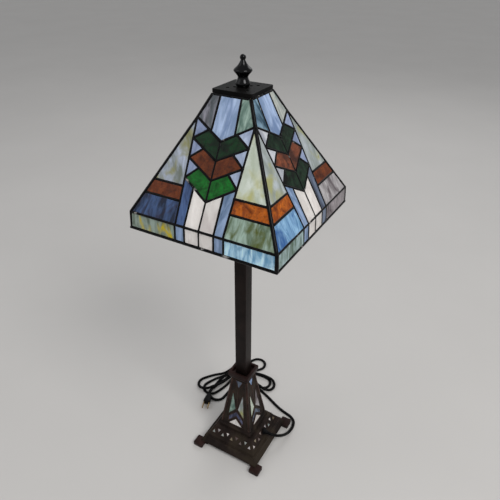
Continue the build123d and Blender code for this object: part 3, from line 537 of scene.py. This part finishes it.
def read_line(curve):
    """The points along a curve, as the renderer makes them."""
    bare = bpy.data.objects.new("bare", curve.copy())
    mesh = bpy.data.meshes.new_from_object(bare)
    line = [v.co.copy() for v in mesh.vertices]
    bpy.data.objects.remove(bare)
    bpy.data.meshes.remove(mesh)
    return line


def twin_section(a):
    """The outline of a flat twin cord, across and up, at an angle round it."""
    across = 0.5 * CORD_WIDTH * cos(a)
    waist = 1 - 0.24 * np.exp(-((across / 0.0008) ** 2))
    return across, 0.5 * CORD_THICK * waist * (abs(sin(a)) ** 0.75) * (1 if sin(a) > 0 else -1)


def twin_tube(shell, line, sides=20):
    """Skin a flat twin cord along a line. It lies flat, and turns with the line."""
    rings = []
    for i, centre in enumerate(line):
        along = (line[min(i + 1, len(line) - 1)] - line[max(i - 1, 0)]).normalized()
        across = Vector((-along.y, along.x, 0)).normalized()
        rise = along.cross(across)
        if rise.z < 0:
            rise = -rise
        rings.append([centre + across * x + rise * y for x, y in map(twin_section, around(sides))])
    shell.rings(rings)


hank = hank_plan()
levels = laid_down(hank, ON_TABLE)
levels[-3:] = (0.004, 0.0062, PLUG_END.z)
route = LEAD_ROUTE + [(p.x, p.y, float(z)) for p, z in zip(hank[1:], levels[1:])]
line = read_line(smooth_line(route))
cord_shell = Shell()
twin_tube(cord_shell, line)
cord = cord_shell.piece("mains_cord", "stand", "cord", cord_vinyl, ["cord_lead", "cord_hank"])
cord_length = sum((b - a).length for a, b in zip(line, line[1:]))
print("cord length", round(cord_length, 4))


def twist_tie(highest):
    """A flat tie round the middle of the hank, over its highest strand."""
    half_wide, high = 0.0135, highest + 0.0022
    half_band, half_thick = 0.0021, 0.0004
    way = Vector((*TIE_WAY, 0))
    rings = []
    for a in around(36):
        square = (abs(cos(a)) ** 4 + abs(sin(a)) ** 4) ** -0.25
        off = Vector((*TIE_SIDE, 0)) * half_wide * square * cos(a)
        centre = Vector((*HANK_MIDDLE, 0.0005 + high / 2)) + off + Vector((0, 0, high / 2 * square * sin(a)))
        outward = (off.normalized() * abs(cos(a)) + Vector((0, 0, sin(a)))).normalized()
        corners = ((-1, -1), (1, -1), (1, 1), (-1, 1))
        rings.append([centre + way * half_band * x + outward * half_thick * y for x, y in corners])
    shell = Shell()
    shell.rings(rings, closed=True)
    return shell.piece("cord_tie", "stand", "black_plastic", black_plastic)


def moulded_plug():
    """The plug that the cord ends in: it swells from the cord to its face, with finger grips on its sides."""
    length, sides, stations = 0.026, 28, 40
    grip_from, grip_to, grip_pitch = 0.42, 0.84, 0.07
    way = Vector((cos(radians(-70)), sin(radians(-70)), 0))
    across = Vector((-way.y, way.x, 0))
    rings = []
    for k in range(stations):
        t = k / (stations - 1)
        swell = min(1.0, t / 0.75)
        wide = 0.0035 + 0.005 * swell**0.7
        high = 0.0032 + 0.0033 * swell**0.8
        if grip_from < t < grip_to:
            wide -= 0.00045 * (0.5 + 0.5 * cos(2 * pi * (t - grip_from) / grip_pitch))
        end = 1 - 0.09 * max(0.0, (t - 0.93) / 0.07) ** 2 - 0.25 * max(0.0, (0.04 - t) / 0.04) ** 2
        ring = []
        for a in around(sides):
            x = abs(cos(a)) ** 0.55 * (1 if cos(a) > 0 else -1)
            z = abs(sin(a)) ** 0.55 * (1 if sin(a) > 0 else -1)
            outward = across * wide * end * x + Vector((0, 0, high * end * z))
            ring.append(PLUG_END + way * length * t + outward)
        rings.append(ring)
    shell = Shell()
    shell.rings(rings)
    return shell.piece("moulded_plug", "stand", "black_plastic", black_plastic, ["plug"])


tie = twist_tie(float(max(levels)))
plug = moulded_plug()

# -------------------- shade pattern
# Millimetres: (half width, height) of the middle of the glass down one face, and (across, down) on a face.
CROWN_TOP, CROWN_TIP = (30.6, 762.3), (61.3, 702.8)
FIELD_TOP, KNEE, RIM = (48.3, 728.0), (128.0, 587.0), (129.3, 561.7)
RIDGE_R, SEAM_R, RIM_WIDTH, RIM_HEIGHT = 3.0, 2.6, 5.0, 4.5
GLASS, BEAD_WIDTH, BEAD_HEIGHT = 3.0, 5.0, 4.9
UNDER = 0.9  # from the middle of a solder line to the edge of the glass under it

FIELD_LENGTH = hypot(KNEE[0] - FIELD_TOP[0], FIELD_TOP[1] - KNEE[1])
SKIRT_LENGTH = hypot(RIM[0] - KNEE[0], KNEE[1] - RIM[1])
TIPS, ARMS, CUTS = (29.0, 57.0, 86.0, 118.0), (0.0, 31.0, 60.0, 90.0), (23.5, 25.0, 25.0)
STRIP_TOP, STRIP_LOW, WHITE_HALF = 48.3, 42.0, 26.0
BAND_TOP, BAND_LOW = 103.0, 126.0
SPLIT_TOP, SPLIT_LOW = 17.5, 20.0
SKIRT_SPLIT = 43.0
CROWN_START, SKIRT_START = 1.5, 0.6
EDGE = 1.0  # from a ridge's middle to the edge of the glass under it


class Face:
    """One leaning face, front, right, back or left in turn, between two levels."""

    def __init__(self, side, top, low):
        turn = radians(90 * side - 90)
        outward = Vector((cos(turn), sin(turn), 0))
        length = hypot(low[0] - top[0], top[1] - low[1])
        self.origin = (outward * top[0] + Vector((0, 0, top[1]))) * MM
        self.across = Vector((-outward.y, outward.x, 0))
        self.down = (outward * (low[0] - top[0]) - Vector((0, 0, top[1] - low[1]))) / length
        self.out = self.down.cross(self.across)
        if self.out.dot(outward) < 0:
            self.out = -self.out

    def at(self, u, s, lift=0.0):
        return self.origin + (self.across * u + self.down * s + self.out * lift) * MM


def strip_u(s):
    return STRIP_TOP + (STRIP_LOW - STRIP_TOP) * s / FIELD_LENGTH


def ridge_u(s):
    return FIELD_TOP[0] + (KNEE[0] - FIELD_TOP[0]) * s / FIELD_LENGTH


def chevron_s(k, u):
    """How far down the field chevron line k is, at a distance u from the centre line."""
    return TIPS[k] + (ARMS[k] - TIPS[k]) * u / strip_u(ARMS[k])


def crown_s(s):
    """The same height as a distance s down the field, measured down the crown from its top."""
    height = FIELD_TOP[1] - s * (FIELD_TOP[1] - KNEE[1]) / FIELD_LENGTH
    slope = hypot(CROWN_TIP[0] - CROWN_TOP[0], CROWN_TOP[1] - CROWN_TIP[1]) / (CROWN_TOP[1] - CROWN_TIP[1])
    return (CROWN_TOP[1] - height) * slope


def crown_ridge_u(s):
    return CROWN_TOP[0] + (CROWN_TIP[0] - CROWN_TOP[0]) * s / crown_s(TIPS[0])


def inset(outline, gap):
    """Move each edge of an outline inwards by the gap."""
    count = len(outline)
    area = sum(outline[i - 1][0] * outline[i][1] - outline[i][0] * outline[i - 1][1] for i in range(count))
    way = 1 if area > 0 else -1
    lines = []
    for (x0, y0), (x1, y1) in zip(outline, outline[1:] + outline[:1]):
        length = hypot(x1 - x0, y1 - y0)
        nx, ny = -way * (y1 - y0) / length, way * (x1 - x0) / length
        lines.append((nx, ny, nx * x0 + ny * y0 + gap))
    moved = []
    for (a, b, c), (d, e, f) in zip(lines[-1:] + lines[:-1], lines):
        det = a * e - b * d
        moved.append(((c * e - b * f) / det, (a * f - c * d) / det))
    return moved


def flipped(outline):
    return [(-u, s) for u, s in outline]


crown_node, crown_tip, crown_cut = crown_s(0.0), crown_s(TIPS[0]), crown_s(chevron_s(0, SPLIT_LOW))
wedge_apex = EDGE * FIELD_LENGTH / (KNEE[0] - FIELD_TOP[0] + STRIP_TOP - STRIP_LOW)
white_top = chevron_s(3, WHITE_HALF)
field_end, skirt_end = FIELD_LENGTH - 0.6, SKIRT_LENGTH - 0.4


def band(top, low):
    """A pane between the strip line and the ridge."""
    return [(strip_u(top), top), (ridge_u(top) - EDGE, top), (ridge_u(low) - EDGE, low), (strip_u(low), low)]


def upright(left, right, top, low):
    """A pane with upright sides."""
    return [(left, top), (right, top), (right, low), (left, low)]


chevrons, spandrels, cut_lines = [], [], []
for k, cut in enumerate(CUTS):
    cut_point, arm_end = (cut, chevron_s(k, cut)), (strip_u(ARMS[k + 1]), ARMS[k + 1])
    chevrons.append([(0, TIPS[k]), cut_point, arm_end, (0, TIPS[k + 1])])
    spandrels.append([cut_point, (strip_u(ARMS[k]) - 0.6 * (k == 0), ARMS[k] + 1.4 * (k == 0)), arm_end])
    cut_lines.append((cut_point, arm_end))

# Each region of a face: its levels, its right-hand panes by kind of glass, and its right-hand solder lines.
REGIONS = {
    "crown": (
        CROWN_TOP,
        CROWN_TIP,
        {
            "crown_centre": [[
                (0, CROWN_START),
                (SPLIT_TOP, CROWN_START),
                (SPLIT_LOW, crown_cut),
                (0, crown_tip),
            ]],
            "crown_side": [[
                (SPLIT_TOP, CROWN_START),
                (CROWN_TOP[0] - EDGE, CROWN_START),
                (crown_ridge_u(crown_node) - EDGE, crown_node + 0.5),
                (SPLIT_LOW, crown_cut),
            ]],
        },
        [
            ((SPLIT_TOP, CROWN_START), (SPLIT_LOW, crown_cut)),
            ((0, CROWN_START + 1), (CROWN_TOP[0] - 3, CROWN_START + 1)),
        ],
    ),
    "field": (
        FIELD_TOP,
        KNEE,
        {
            "upper_chevron": [chevrons[0]],
            "middle_chevron": [chevrons[1]],
            "lower_chevron": [chevrons[2]],
            "spandrel": spandrels,
            "white": [[(0, TIPS[3]), (WHITE_HALF, white_top), (WHITE_HALF, field_end), (0, field_end)]],
            "strip": [[
                (WHITE_HALF, white_top),
                (strip_u(ARMS[3]), ARMS[3]),
                (strip_u(field_end), field_end),
                (WHITE_HALF, field_end),
            ]],
            "wedge": [[
                (strip_u(wedge_apex), wedge_apex),
                (ridge_u(BAND_TOP) - EDGE, BAND_TOP),
                (strip_u(BAND_TOP), BAND_TOP),
            ]],
            "amber_band": [band(BAND_TOP, BAND_LOW)],
            "low_band": [band(BAND_LOW, field_end)],
        },
        [((0, TIPS[k]), (strip_u(ARMS[k]), ARMS[k])) for k in range(4)]
        + cut_lines
        + [
            ((strip_u(0), 0), (strip_u(FIELD_LENGTH), FIELD_LENGTH)),
            ((WHITE_HALF, white_top), (WHITE_HALF, FIELD_LENGTH)),
            ((strip_u(BAND_TOP), BAND_TOP), (ridge_u(BAND_TOP) - EDGE, BAND_TOP)),
            ((strip_u(BAND_LOW), BAND_LOW), (ridge_u(BAND_LOW) - EDGE, BAND_LOW)),
        ],
    ),
    "skirt": (
        KNEE,
        RIM,
        {
            "skirt_white": [upright(0, WHITE_HALF, SKIRT_START, skirt_end)],
            "skirt_strip": [upright(WHITE_HALF, SKIRT_SPLIT, SKIRT_START, skirt_end)],
            "skirt_corner": [[
                (SKIRT_SPLIT, SKIRT_START),
                (KNEE[0] - EDGE, SKIRT_START),
                (RIM[0] - EDGE, skirt_end),
                (SKIRT_SPLIT, skirt_end),
            ]],
        },
        [
            ((WHITE_HALF, 0), (WHITE_HALF, SKIRT_LENGTH - 1)),
            ((SKIRT_SPLIT, 0), (SKIRT_SPLIT, SKIRT_LENGTH - 1)),
        ],
    ),
}
MIDDLE_LINES = {"field": ((0, TIPS[0]), (0, FIELD_LENGTH)), "skirt": ((0, 0), (0, SKIRT_LENGTH - 1))}

# -------------------- glass colours
# Display values of each sheet's ground, its wisps and its clouds.
SHEETS = {
    "lavender": ((118, 138, 168), (164, 182, 210), (106, 126, 160)),
    "seafoam": ((84, 108, 100), (146, 168, 158), (56, 84, 76)),
    "smoke": ((86, 92, 98), (146, 144, 156), (60, 64, 66)),
    "cream": ((138, 144, 142), (186, 188, 180), (104, 122, 122)),
    "teal": ((66, 92, 112), (124, 152, 170), (40, 64, 80)),
    # bottle_dark and bottle are one green glass: the darker copy is painted shade on the upper chevrons, and
    # the lighter copy is painted light on the lower chevrons, where more light comes through.
    "bottle_dark": ((7, 33, 16), (13, 50, 24), (4, 18, 9)),
    "bottle": ((8, 68, 20), (17, 102, 33), (6, 40, 12)),
    "moss_green": ((16, 32, 22), (30, 52, 36), (3, 8, 5)),
    "amber": ((126, 60, 20), (172, 92, 28), (90, 40, 15)),
    "amber_brown": ((82, 37, 18), (108, 54, 25), (56, 25, 13)),
    "amber_rose": ((92, 52, 38), (122, 68, 46), (64, 37, 30)),
    "pearl": ((112, 124, 152), (142, 154, 182), (94, 106, 134)),
    "white": ((194, 190, 187), (208, 205, 203), (184, 178, 176)),
    "blue": ((116, 136, 165), (141, 161, 191), (85, 106, 135)),
    "deep_blue": ((52, 71, 111), (78, 102, 144), (29, 40, 69)),
    "slate_blue": ((84, 93, 111), (112, 124, 145), (58, 63, 78)),
    "moonstone": ((166, 175, 160), (194, 200, 193), (166, 166, 116)),
    "dusk": ((100, 106, 100), (160, 168, 186), (122, 120, 72)),
    "mist": ((126, 134, 130), (164, 171, 176), (146, 147, 104)),
    "olive": ((82, 98, 78), (144, 164, 154), (76, 84, 40)),
    "navy": ((28, 37, 56), (64, 86, 126), (42, 28, 38)),
    "shell": ((140, 136, 138), (184, 182, 184), (88, 80, 84)),
    "sky": ((84, 126, 164), (146, 184, 212), (50, 88, 142)),
    "aqua": ((116, 160, 188), (196, 224, 234), (74, 124, 160)),
    "lichen": ((84, 94, 82), (140, 154, 146), (176, 158, 36)),
    "pale_pearl": ((142, 154, 178), (168, 180, 202), (122, 134, 158)),
    "milk": ((170, 173, 180), (196, 199, 204), (144, 148, 158)),
    "dim_blue": ((60, 65, 76), (100, 110, 126), (40, 42, 48)),
    "violet": ((60, 63, 86), (94, 98, 124), (42, 44, 58)),
    "dusty": ((92, 82, 80), (132, 122, 118), (62, 54, 52)),
    "rose_grey": ((112, 108, 110), (152, 145, 149), (72, 61, 67)),
    "amber_pale": ((106, 98, 78), (144, 136, 116), (82, 72, 54)),
    "aqua_green": ((102, 120, 115), (160, 182, 186), (78, 98, 84)),
}
# The sheet each kind of pane is cut from: right half then left half of the front, right, back and left faces.
CUT_FROM = {
    "crown_centre": ("lavender lavender",) * SIDES,
    "crown_side": ("seafoam smoke", "cream teal", "teal seafoam", "smoke cream"),
    # The upper chevrons mostly take the painted-shade copy of the green, and the lower chevrons its
    # painted-light copy.
    "upper_chevron": (
        "bottle_dark bottle_dark",
        "moss_green moss_green",
        "bottle_dark bottle_dark",
        "bottle bottle_dark",
    ),
    "middle_chevron": (
        "amber_brown amber_brown",
        "amber_rose amber_rose",
        "amber amber_brown",
        "amber_rose amber_brown",
    ),
    "lower_chevron": ("bottle bottle", "moss_green moss_green", "bottle bottle", "bottle_dark bottle"),
    "spandrel": ("pale_pearl pearl", "pearl milk", "pearl pale_pearl", "milk pearl"),
    "white": ("white white",) * SIDES,
    "strip": ("blue deep_blue", "slate_blue blue", "blue blue", "deep_blue blue"),
    "wedge": ("moonstone dusk", "mist mist", "dusk moonstone", "mist dusk"),
    "amber_band": ("amber amber_brown", "amber_brown amber", "amber amber", "amber_brown amber"),
    "low_band": ("olive navy", "shell sky", "sky olive", "navy shell"),
    "skirt_white": ("white white",) * SIDES,
    "skirt_strip": ("blue blue", "slate_blue blue", "blue slate_blue", "blue blue"),
    "skirt_corner": ("aqua lichen", "rose_grey aqua_green", "aqua aqua_green", "lichen rose_grey"),
}
# Which piece of the shade each kind of pane belongs to, and the look of its glass.
GLASS_PIECES = {
    "glass_crown_centres": (["crown_centre"], cathedral, "blue_glass"),
    "glass_crown_sides": (["crown_side"], wispy, "sea_glass"),
    "glass_green": (["upper_chevron", "lower_chevron"], mottled, "green_glass"),
    "glass_amber": (["middle_chevron", "amber_band"], mottled, "amber_glass"),
    "glass_spandrels": (["spandrel"], opal, "blue_glass"),
    "glass_white": (["white", "skirt_white"], opal, "white_glass"),
    "glass_strips": (["strip", "skirt_strip"], cathedral, "blue_glass"),
    "glass_wedges": (["wedge"], clouded, "pale_glass"),
    "glass_low_bands": (["low_band"], wispy, "night_glass"),
    "glass_skirt_corners": (["skirt_corner"], wispy, "pale_glass"),
}
ALBEDO = 1.53  # what the display values are multiplied by, to suit this light


def pane(shell, face, outline, sheet, seed, thick=GLASS, lift=0.0, gap=UNDER):
    """Cut one pane from a sheet: its own place in the pattern, turned a little and lighter or darker."""
    chance = random.Random(seed)
    shade, turn = chance.uniform(0.93, 1.07), radians(chance.uniform(-14, 14))
    edge = inset(outline, gap) if gap else outline
    count = len(edge)
    points = [face.at(u, s, lift + side * thick / 2) for side in (1, -1) for u, s in edge]
    place = seed % 97 * 31.7
    flow = [(u * cos(turn) + s * sin(turn), s * cos(turn) - u * sin(turn), place) for u, s in edge] * 2
    sides = [[j, (j + 1) % count, (j + 1) % count + count, j + count] for j in range(count)]
    colours = [(*linear(*colour, ALBEDO * shade), 1.0) for colour in SHEETS[sheet]]
    shell.add(
        points,
        [list(range(count)), list(range(count, 2 * count))[::-1], *sides],
        flow=flow,
        tint=colours[0],
        streak=colours[1],
        cloud=colours[2],
    )


for number, (node, (kinds, material, slot)) in enumerate(GLASS_PIECES.items()):
    shell = Shell()
    for side in range(SIDES):
        for top, low, groups, _ in REGIONS.values():
            face = Face(side, top, low)
            for kind in kinds:
                for at, outline in enumerate(groups.get(kind, [])):
                    right, left = CUT_FROM[kind][side].split()
                    seed = 1000 * number + 100 * side + 10 * at + len(kind)
                    if kind == "crown_centre":
                        pane(shell, face, outline[1:] + flipped(outline)[-2:0:-1], right, seed)
                        continue
                    pane(shell, face, outline, right, seed)
                    pane(shell, face, flipped(outline), left, seed + 5)
    shell.piece("panes_" + node[6:], "shade", slot, material, [node], smooth=False)

# -------------------- solder
for side, name in enumerate(("front", "right", "back", "left")):
    shell = Shell()
    for region, (top, low, _, lines) in REGIONS.items():
        face = Face(side, top, low)
        both = [(start, end, 1) for start, end in lines] + [(start, end, -1) for start, end in lines]
        if region in MIDDLE_LINES:
            both.append((*MIDDLE_LINES[region], 1))
        joints = set()
        for at, (start, end, flip) in enumerate(both):
            a, b = (face.at(flip * u, s) for u, s in (start, end))
            width = BEAD_WIDTH * (0.82 if start[0] == end[0] == 0 else 1.0)
            bead(shell, a, b, face.out, width * MM, BEAD_HEIGHT * MM, seed=10 * side + at)
            joints |= {(round(flip * u, 1), round(s, 1)) for u, s in (start, end)}
        for u, s in sorted(joints):
            blob(shell, face.at(u, s), face.out, 2.7 * MM, BEAD_HEIGHT * MM, seed=side)
    shell.piece(f"solder_{name}", "shade", "solder", solder, [f"came_{name}"])

STATIONS = ((CROWN_TOP[0] + 1.3, CROWN_TOP[1] - 2.5), FIELD_TOP, KNEE, (RIM[0] - 0.3, RIM[1] + 0.4))
shell = Shell()
for side in range(SIDES):
    turn = radians(90 * side + 45)
    corner = Vector((cos(turn), sin(turn), 0)) * 2**0.5
    points = [(corner * half + Vector((0, 0, height))) * MM for half, height in STATIONS]
    for start, end in zip(points, points[1:]):
        outward = Vector((corner.x, corner.y, 0.6)).normalized()
        bead(shell, start, end, outward, 2.0 * RIDGE_R * MM, 1.9 * RIDGE_R * MM, seed=40 + side, sides=14)
    for point in points[1:3]:
        blob(shell, point, corner, 0.97 * RIDGE_R * MM, 1.94 * RIDGE_R * MM, sides=16, seed=50 + side)
    face = Face(side, KNEE, RIM)
    reach = KNEE[0] - 1.5
    left, right = face.at(-reach, 0), face.at(reach, 0)
    bead(shell, left, right, face.out, 1.85 * SEAM_R * MM, 1.9 * SEAM_R * MM, seed=60 + side)
shell.piece("solder_ridges", "shade", "solder", solder, ["solder_beads"])

shell = Shell()
STEPS_A_SIDE = 30
rings = []
for i in range(SIDES * STEPS_A_SIDE):
    side, part = divmod(i, STEPS_A_SIDE)
    turn = radians(90 * side - 90)
    outward, across = Vector((cos(turn), sin(turn), 0)), Vector((-sin(turn), cos(turn), 0))
    run = 2 * part / STEPS_A_SIDE - 1
    ring = []
    for a in around(16):
        x = 0.5 * RIM_WIDTH * abs(cos(a)) ** 0.7 * (1 if cos(a) > 0 else -1)
        z = 0.5 * RIM_HEIGHT * abs(sin(a)) ** 0.7 * (1 if sin(a) > 0 else -1)
        half = RIM[0] + x * (1 - abs(uneven((outward + across * run) * 0.1, 0.02, 0.14, 3)))
        ring.append((outward * half + across * run * half + Vector((0, 0, RIM[1] - RIM_HEIGHT / 2 + z))) * MM)
    rings.append(ring)
shell.rings(rings, closed=True)
shell.piece("solder_rim", "shade", "solder", solder, ["rim_bead"])

# -------------------- castings
def softened(node, name, width, flat, edge):
    """A copy of a casting with its sharp edges rounded, and the rounding in a second, more worn material."""
    shape = bmesh.new()
    shape.from_mesh(nodes[node].data)
    bmesh.ops.remove_doubles(shape, verts=shape.verts, dist=1e-6)
    bmesh.ops.dissolve_limit(shape, angle_limit=radians(1), verts=shape.verts, edges=shape.edges)
    mesh = bpy.data.meshes.new(name)
    shape.to_mesh(mesh)
    shape.free()
    mesh.materials.clear()
    mesh.materials.append(flat)
    mesh.materials.append(edge)
    rough = bpy.data.objects.new(name, mesh)
    bpy.context.scene.collection.objects.link(rough)
    bevel = rough.modifiers.new("round", "BEVEL")
    bevel.width, bevel.segments, bevel.material = width * MM, 3, 1
    bevel.limit_method, bevel.angle_limit = "ANGLE", radians(24)
    bpy.context.view_layer.update()
    soft = bpy.data.meshes.new_from_object(rough.evaluated_get(bpy.context.evaluated_depsgraph_get()))
    bpy.data.objects.remove(rough)
    soft.materials.clear()
    return finished(soft, name, "stand", [flat, edge], [node], sharp=40)


def paint(material, *names):
    for name in names:
        for slot in nodes[name].material_slots:
            slot.material = material


softened("post", "post_tube", 0.7, post_paint, post_paint)
softened("collar", "cast_collar", 0.8, bronze_red, bronze_worn)
softened("corner_feet", "cast_feet", 0.9, bronze_red, bronze_worn)
softened("plinth", "cast_plinth", 0.55, bronze, bronze_worn)
softened("lantern_body", "cast_lantern", 0.5, bronze, bronze_worn)

LANTERN_TOP, LANTERN_LOW = (17.6, 184.0), (35.6, 59.0)
BAND_UPPER, BAND_LOWER = (44.5, 50.0), (58.2, 26.1)
TRIANGLES, TRIANGLE_PITCH = 9, 11.0
LANTERN_WINDOWS = {
    "kites": ([[(-8.5, 3.8), (8.5, 3.8), (0, 23)]], "blue_glass", cathedral),
    "spires": ([[(12, 33), (2.2, 78), (19, 98)], [(-12, 33), (-2.2, 78), (-19, 98)]], "sea_glass", wispy),
    "chevrons": (
        [[(0, 84.5), (17.5, 103), (17.5, 115), (0, 97), (-17.5, 115), (-17.5, 103)]],
        "night_glass",
        cathedral,
    ),
    "gables": ([[(0, 103.5), (17.8, 122), (-17.8, 122)]], "white_glass", opal),
}
LANTERN_SHEETS = {
    "kites": ("dim_blue", "blue", "dim_blue", "blue"),
    "spires": ("mist seafoam", "shell moonstone", "mist seafoam", "seafoam moonstone"),
    "chevrons": ("violet", "dim_blue", "violet", "dim_blue"),
    "gables": ("white",) * SIDES,
}


def trim(shell, face, outline, lift, width, height, seed):
    """A raised rounded rib along the edge of a window."""
    for at in range(len(outline)):
        a, b = (face.at(u, s, lift) for u, s in (outline[at - 1], outline[at]))
        bead(shell, a, b, face.out, width * MM, height * MM, seed=seed + at, sides=8, step=4 * MM)


ribs = Shell()
for number, (kind, (outlines, slot, material)) in enumerate(LANTERN_WINDOWS.items()):
    shell = Shell()
    for side in range(SIDES):
        face = Face(side, LANTERN_TOP, LANTERN_LOW)
        sheets = LANTERN_SHEETS[kind][side].split()
        for at, outline in enumerate(outlines):
            seed = 7000 + 100 * number + 10 * side + at
            pane(shell, face, outline, sheets[at % len(sheets)], seed, 2.0, -2.2, 0)
            trim(ribs, face, outline, -0.8, 1.5, 1.5, 70 + side)
    shell.piece("lantern_" + kind, "stand", slot, material, ["lantern_glass_" + kind], smooth=False)
for side in range(SIDES):
    face = Face(side, LANTERN_TOP, LANTERN_LOW)
    bead(ribs, face.at(0, 25, -0.8), face.at(0, 82, -0.8), face.out, 3.0 * MM, 1.6 * MM, seed=90)
    turn = radians(90 * side + 45)
    corner = Vector((cos(turn), sin(turn), 0))
    ends = ((18.1, 181.5), (35.2, 62))
    top, low = ((corner * 2**0.5 * (half - 1.9) + Vector((0, 0, height))) * MM for half, height in ends)
    bead(ribs, top, low, corner, 6.0 * MM, 4.6 * MM, seed=94 + side)
ribs.piece("lantern_ribs", "stand", "bronze", bronze_worn)

PLINTH_SHEETS = ("cream", "dusty", "white", "shell", "dusty", "amber_pale", "cream")
shell, ribs = Shell(), Shell()
for side in range(SIDES):
    face = Face(side, BAND_UPPER, BAND_LOWER)
    for i in range(TRIANGLES):
        u = (i - (TRIANGLES - 1) / 2) * TRIANGLE_PITCH
        if side == 1 and i == (TRIANGLES - 1) / 2:
            continue
        upward = [(u, 9.5), (u + 4.2, 18), (u - 4.2, 18)]
        downward = [(u - 4.2, 6), (u + 4.2, 6), (u, 14.5)]
        outline = downward if i % 2 else upward
        sheet = PLINTH_SHEETS[(3 * i + 2 * side) % len(PLINTH_SHEETS)]
        pane(shell, face, outline, sheet, 8000 + 20 * side + i, 2.0, -2.0, 0)
        trim(ribs, face, outline, -0.7, 1.1, 0.9, 80 + side)
shell.piece("plinth_panes", "stand", "white_glass", opal, ["plinth_glass"], smooth=False)
ribs.piece("plinth_ribs", "stand", "bronze", bronze_worn)

# -------------------- parts that keep their shapes
paint(cap_metal, "shade_cap")
paint(gunmetal, "finial")
paint(brass, "bulb_base", "night_bulb_base", "harp", "harp_ferrule_left", "harp_ferrule_right", "harp_saddle")
paint(brass, "harp_stud", "plug_blades", "socket_contacts", "switch_stem")
paint(bronze, "post_cap", "socket_cap", "socket_shell", "switch_key")
paint(steel, "base_nut_and_washer", "bottom_plate", "foot_screws", "post_plugs", "threaded_nipples")
paint(iron, "weight")
paint(frosted, "bulb_glass", "night_bulb_glass")
paint(black_plastic, "cord_bushing", "night_socket", "switch_block")
paint(cord_vinyl, "inner_cord")
paint(card, "socket_liner")
paint(felt, "foot_pads")

# -------------------- stage and light
floor_cloth, tree, principled = shader("pale_cloth", roughness=0.9)
coords = object_coords(tree)
tone = noise_at(tree, coords, 2.2, 3.0)
tree.links.new(mixed(tree, tone, (0.54, 0.527, 0.515), (0.59, 0.576, 0.563)), principled.inputs["Base Color"])
floor = bpy.data.objects.new("floor", bpy.data.meshes.new("floor"))
FLOOR_HALF = 25
floor_corners = [(x * FLOOR_HALF, y * FLOOR_HALF, 0) for x, y in ((-1, -1), (1, -1), (1, 1), (-1, 1))]
floor.data.from_pydata(floor_corners, [], [(0, 1, 2, 3)])
floor.data.materials.append(floor_cloth)
bpy.context.scene.collection.objects.link(floor)

world = bpy.data.worlds.new("studio")
bpy.context.scene.world = world
world.use_nodes = True
background = world.node_tree.nodes["Background"]
background.inputs["Color"].default_value = (0.98, 0.99, 1.0, 1)
background.inputs["Strength"].default_value = 0.47


def lamp(name, azimuth, elevation, distance, size, power, colour=(1, 1, 1)):
    """A square soft light aimed at the middle of the object."""
    light = bpy.data.lights.new(name, "AREA")
    light.shape, light.size, light.energy, light.color = "SQUARE", size, power, colour
    holder = bpy.data.objects.new(name, light)
    target = Vector((0, 0, 0.45))
    turn, tilt = radians(azimuth), radians(elevation)
    away = Vector((cos(turn) * cos(tilt), sin(turn) * cos(tilt), sin(tilt)))
    aim = away.to_track_quat("Z", "Y").to_matrix().to_4x4()
    holder.matrix_world = Matrix.Translation(target + away * distance) @ aim
    bpy.context.scene.collection.objects.link(holder)


lamp("key", -24, 46, 2.6, 1.1, 38, (1.0, 0.985, 0.96))
lamp("fill", -140, 35, 3.0, 2.2, 14)
lamp("rim", 95, 40, 3.0, 1.6, 14)
bpy.context.scene.view_settings.view_transform = "Standard"
